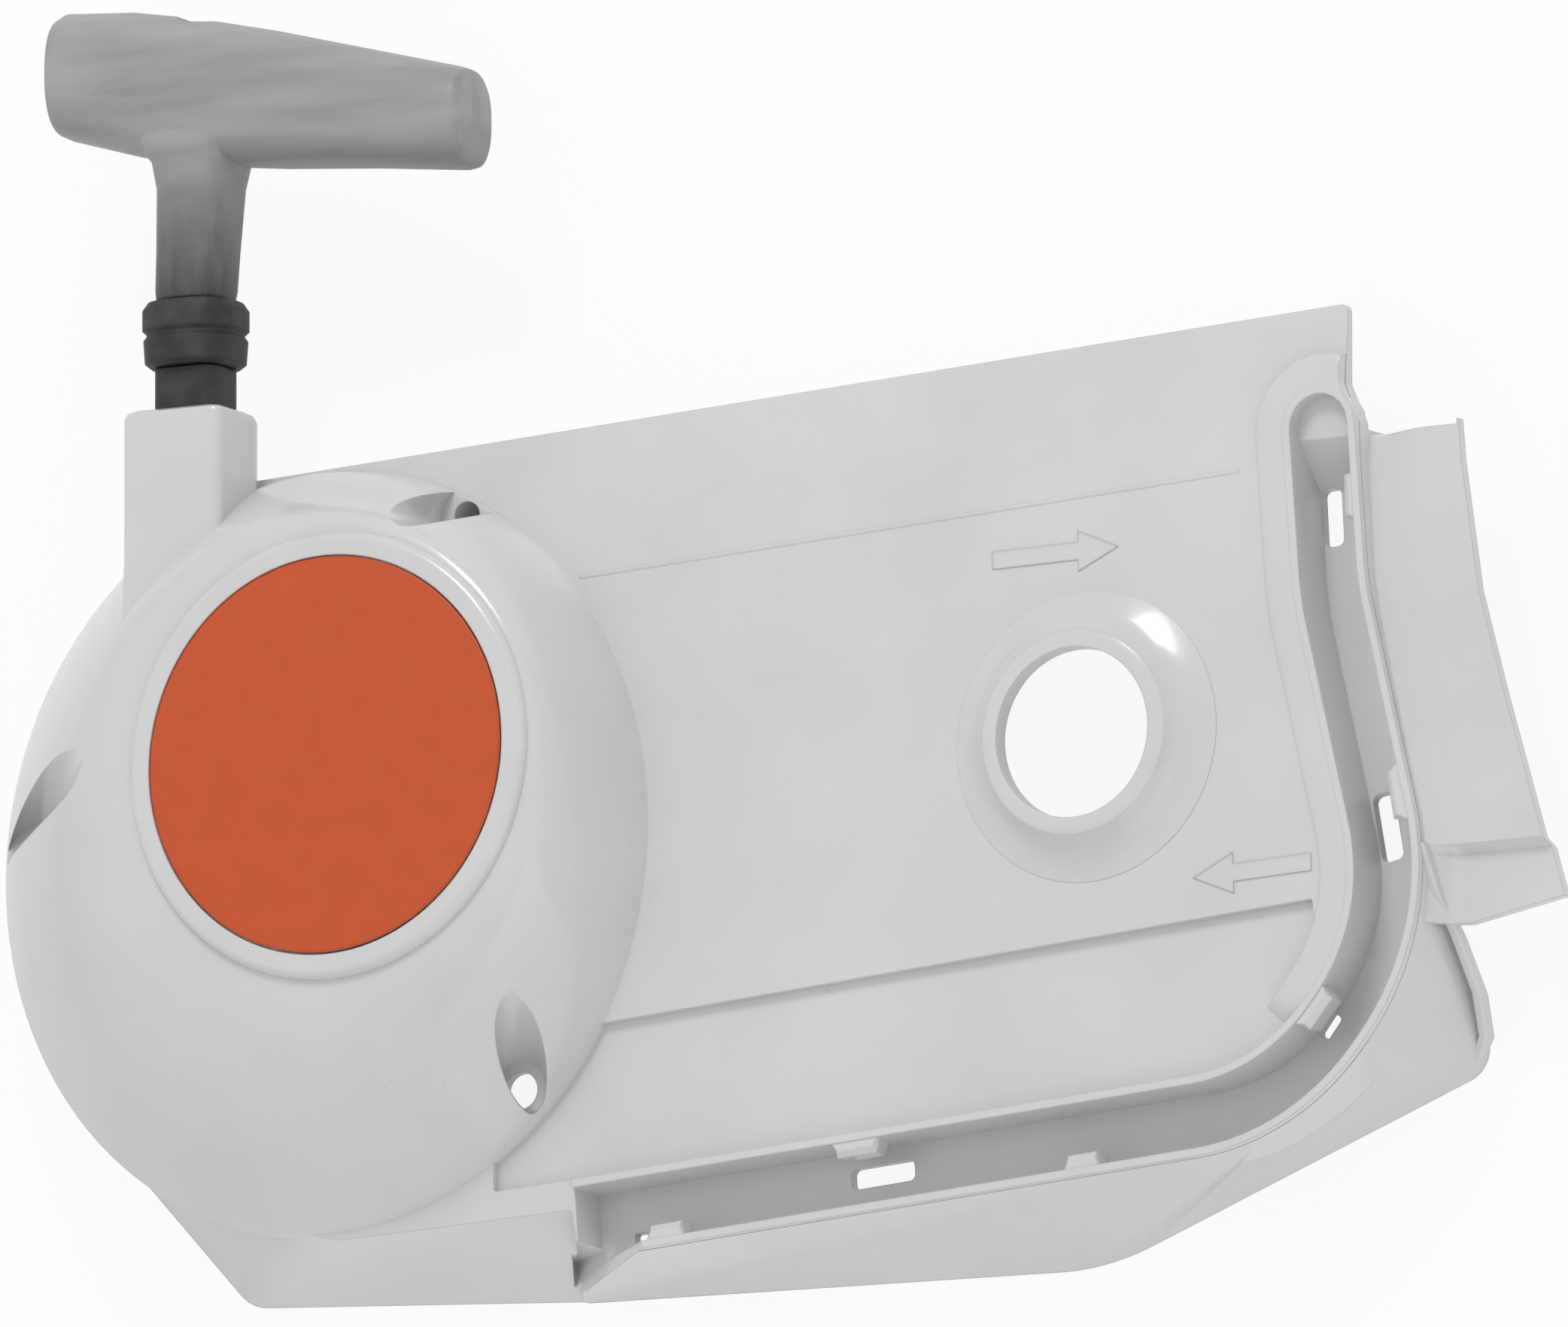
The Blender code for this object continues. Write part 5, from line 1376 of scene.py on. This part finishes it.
class STARTER_OT_cover_shell(Operator):
    """Finish the moulded cover"""

    bl_idname = "starter_cover.cover_shell"
    bl_label = "Moulded cover"

    def execute(self, context):
        sizes = context.scene.starter_cover_sizes
        colours = context.scene.starter_cover_colours
        finish = moulded_finish("grey_moulding", tuple(colours.shell), sizes.edge_softness)
        shell = make_cover_shell()
        seat(shell)
        dress(shell, "cover", "moulded_cover", finish, sizes.sharp_angle, "housing")
        for number, (tail, tip) in enumerate(ARROWS, 1):
            arrow = make_arrow("raised_arrow_%d" % number, tail, tip)
            seat(arrow)
            dress(arrow, "cover", "moulded_cover", finish, sizes.sharp_angle)
        crease = make_crease("crease_line")
        seat(crease)
        dress(crease, "cover", "moulded_cover", finish, sizes.sharp_angle)
        return {"FINISHED"}


class STARTER_OT_badge(Operator):
    """Finish the plain disc on the dome"""

    bl_idname = "starter_cover.badge"
    bl_label = "Badge disc"

    def execute(self, context):
        sizes = context.scene.starter_cover_sizes
        finish = badge_finish(tuple(context.scene.starter_cover_colours.badge))
        dress_copy("badge_disc", "cover", "badge_orange", finish, "plain_disc", sizes.sharp_angle)
        return {"FINISHED"}


class STARTER_OT_handle(Operator):
    """Finish the handle, its collar and its insert"""

    bl_idname = "starter_cover.handle"
    bl_label = "Pull handle"

    def execute(self, context):
        sizes = context.scene.starter_cover_sizes
        colours = context.scene.starter_cover_colours
        worn = worn_grip_finish(tuple(colours.grip))
        dark = rubber_finish(tuple(colours.collar))
        for make, slot, finish, node in (
            (make_grip, "grip_rubber", worn, "grip"),
            (make_grip_collar, "collar_rubber", dark, "grip_collar"),
            (make_grip_insert, "collar_rubber", dark, "grip_insert"),
        ):
            piece = make()
            seat(piece)
            dress(piece, "handle", slot, finish, sizes.sharp_angle, node)
        return {"FINISHED"}


class STARTER_OT_rope(Operator):
    """Finish the rope, its turns on the rotor and its knot"""

    bl_idname = "starter_cover.rope"
    bl_label = "Starter rope"

    def execute(self, context):
        sizes = context.scene.starter_cover_sizes
        finish = rope_finish(tuple(context.scene.starter_cover_colours.rope))
        stretch_rope(finish, sizes.sharp_angle)
        dress_copy("rope_knot", "handle", "rope_fibre", finish, "rope_end_knot", sizes.sharp_angle)
        dress_copy("rope_coil", "rotor", "rope_fibre", finish, "rope_turns", sizes.sharp_angle)
        return {"FINISHED"}


class STARTER_OT_drive(Operator):
    """Finish the rotor, the return spring, the pawl and the post they run on"""

    bl_idname = "starter_cover.drive"
    bl_label = "Rotor, spring and pawl"

    def execute(self, context):
        sizes = context.scene.starter_cover_sizes
        colours = context.scene.starter_cover_colours
        nylon = nylon_finish(tuple(colours.nylon))
        steel = steel_finish(tuple(colours.steel))
        dress_copy("rope_rotor", "rotor", "rotor_nylon", nylon, "rotor_body", sizes.sharp_angle)
        dress_copy("spring_case", "cover", "rotor_nylon", nylon, "spring_cup", sizes.sharp_angle)
        steel_nodes = {
            "rope_bush": ("cover", "rope_eyelet"),
            "starter_post": ("cover", "post_body"),
            "spring_cover": ("cover", "spring_lid"),
            "recoil_spring": ("cover", "return_spring"),
            "rotor_washer": ("cover", "thrust_washer"),
            "retaining_clip": ("cover", "post_clip"),
            "pawl": ("pawl", "pawl_body"),
            "pawl_spring": ("rotor", "pawl_wire"),
        }
        for node, (body, name) in steel_nodes.items():
            dress_copy(node, body, "spring_steel", steel, name, sizes.sharp_angle)
        return {"FINISHED"}


def link_sockets(tree, *pairs):
    """Links each pair of an output and an input."""
    for output, socket in pairs:
        tree.links.new(output, socket)


def lit_paper(tree, rays):
    """Matte white with a light of its own, which is stronger to the camera than to the cover."""
    seen = add_node(tree, "ShaderNodeMath", operation="MAXIMUM")
    bright = add_node(tree, "ShaderNodeMix", data_type="FLOAT")
    bright.inputs["A"].default_value = FLOOR_LIGHT
    bright.inputs["B"].default_value = FLOOR_BRIGHTNESS
    glow = add_node(tree, "ShaderNodeEmission")
    matte = add_node(tree, "ShaderNodeBsdfDiffuse")
    matte.inputs["Color"].default_value = FLOOR_WHITE
    mix = add_node(tree, "ShaderNodeMixShader")
    link_sockets(
        tree,
        (rays.outputs["Is Camera Ray"], seen.inputs[0]),
        (rays.outputs["Is Transmission Ray"], seen.inputs[1]),
        (seen.outputs["Value"], bright.inputs["Factor"]),
        (bright.outputs["Result"], mix.inputs["Fac"]),
        (matte.outputs["BSDF"], mix.inputs[1]),
        (glow.outputs["Emission"], mix.inputs[2]),
    )
    return mix.outputs["Shader"]


def paper_finish():
    """White floor: bright to the camera, with a faint shadow left on it, and clear from below."""
    material = bpy.data.materials.new("white_paper")
    material.use_nodes = True
    tree = material.node_tree
    tree.nodes.clear()
    output = add_node(tree, "ShaderNodeOutputMaterial")
    rays = add_node(tree, "ShaderNodeLightPath")
    sides = add_node(tree, "ShaderNodeNewGeometry")
    below = add_node(tree, "ShaderNodeMath", operation="MULTIPLY")
    clear = add_node(tree, "ShaderNodeBsdfTransparent")
    either = add_node(tree, "ShaderNodeMixShader")
    link_sockets(
        tree,
        (rays.outputs["Is Camera Ray"], below.inputs[0]),
        (sides.outputs["Backfacing"], below.inputs[1]),
        (below.outputs["Value"], either.inputs["Fac"]),
        (lit_paper(tree, rays), either.inputs[1]),
        (clear.outputs["BSDF"], either.inputs[2]),
        (either.outputs["Shader"], output.inputs["Surface"]),
    )
    return material


def add_floor():
    """A wide white floor under the rim."""
    mesh = bpy.data.meshes.new("floor")
    work = bmesh.new()
    bmesh.ops.create_grid(work, x_segments=1, y_segments=1, size=FLOOR_SIZE)
    work.to_mesh(mesh)
    work.free()
    mesh.materials.append(paper_finish())
    floor = bpy.data.objects.new("floor", mesh)
    bpy.context.scene.collection.objects.link(floor)


def add_lamp(name, place, size, watts):
    """A square lamp at a place, turned to the cover."""
    data = bpy.data.lights.new(name, "AREA")
    data.shape = "SQUARE"
    data.size = size
    data.energy = watts
    lamp = bpy.data.objects.new(name, data)
    lamp.location = place
    lamp.rotation_euler = (-Vector(place)).to_track_quat("-Z", "Y").to_euler()
    bpy.context.scene.collection.objects.link(lamp)


def light_sky(strength):
    """Even white light from all round, white to the camera."""
    world = bpy.data.worlds.new("sky")
    world.use_nodes = True
    tree = world.node_tree
    background = tree.nodes["Background"]
    background.inputs["Color"].default_value = (1.0, 1.0, 1.0, 1.0)
    rays = add_node(tree, "ShaderNodeLightPath")
    level = add_node(tree, "ShaderNodeMix", data_type="FLOAT")
    level.inputs["A"].default_value = strength
    level.inputs["B"].default_value = 1.0
    tree.links.new(rays.outputs["Is Camera Ray"], level.inputs["Factor"])
    tree.links.new(level.outputs["Result"], background.inputs["Strength"])
    bpy.context.scene.world = world


def add_camera(focal_length):
    """The camera of the main picture, far enough for its lens to take in the whole cover."""
    data = bpy.data.cameras.new("picture_camera")
    data.lens = focal_length
    data.sensor_width = SENSOR_WIDTH
    data.clip_end = FAR_CLIP
    camera = bpy.data.objects.new("picture_camera", data)
    distance = VIEW_WIDTH * focal_length / data.sensor_width
    turn = Matrix((VIEW_RIGHT, VIEW_UP, VIEW_BACK)).transposed().to_4x4()
    camera.matrix_world = Matrix.Translation(VIEW_MIDDLE + VIEW_BACK * distance) @ turn
    bpy.context.scene.collection.objects.link(camera)
    bpy.context.scene.camera = camera


class STARTER_OT_stage(Operator):
    """Set up the floor, the lamps, the sky and the camera"""

    bl_idname = "starter_cover.stage"
    bl_label = "Stage"

    def execute(self, context):
        settings = context.scene.starter_cover_stage
        context.scene.view_settings.view_transform = "Standard"
        add_floor()
        light_sky(settings.sky)
        for name, place, size, power in LAMPS:
            add_lamp(name, place, size, getattr(settings, power))
        add_camera(settings.focal_length)
        return {"FINISHED"}


PIECE_OPERATORS = (
    STARTER_OT_cover_shell,
    STARTER_OT_badge,
    STARTER_OT_handle,
    STARTER_OT_rope,
    STARTER_OT_drive,
    STARTER_OT_stage,
)


class STARTER_PT_panel(Panel):
    """Lists the pieces, their sizes and their colours"""

    bl_idname = "STARTER_PT_panel"
    bl_label = "Starter cover"
    bl_space_type = "VIEW_3D"
    bl_region_type = "UI"
    bl_category = "Starter cover"

    def draw(self, context):
        layout = self.layout
        for group in ("sizes", "colours", "stage"):
            settings = getattr(context.scene, "starter_cover_" + group)
            box = layout.box()
            for name in settings.__annotations__:
                box.prop(settings, name)
        for operator in PIECE_OPERATORS:
            layout.operator(operator.bl_idname)


CLASSES = (CoverSizes, CoverColours, StageSettings, *PIECE_OPERATORS, STARTER_PT_panel)


def register():
    """Makes the settings, the operators and the panel known."""
    for cls in CLASSES:
        bpy.utils.register_class(cls)
    bpy.types.Scene.starter_cover_sizes = PointerProperty(type=CoverSizes)
    bpy.types.Scene.starter_cover_colours = PointerProperty(type=CoverColours)
    bpy.types.Scene.starter_cover_stage = PointerProperty(type=StageSettings)


def unregister():
    """Takes them away again."""
    del bpy.types.Scene.starter_cover_stage
    del bpy.types.Scene.starter_cover_colours
    del bpy.types.Scene.starter_cover_sizes
    for cls in reversed(CLASSES):
        bpy.utils.unregister_class(cls)


def main():
    """Makes every piece and the stage in order."""
    register()
    bpy.ops.starter_cover.cover_shell()
    bpy.ops.starter_cover.badge()
    bpy.ops.starter_cover.handle()
    bpy.ops.starter_cover.rope()
    bpy.ops.starter_cover.drive()
    bpy.ops.starter_cover.stage()


if __name__ == "__main__":
    main()
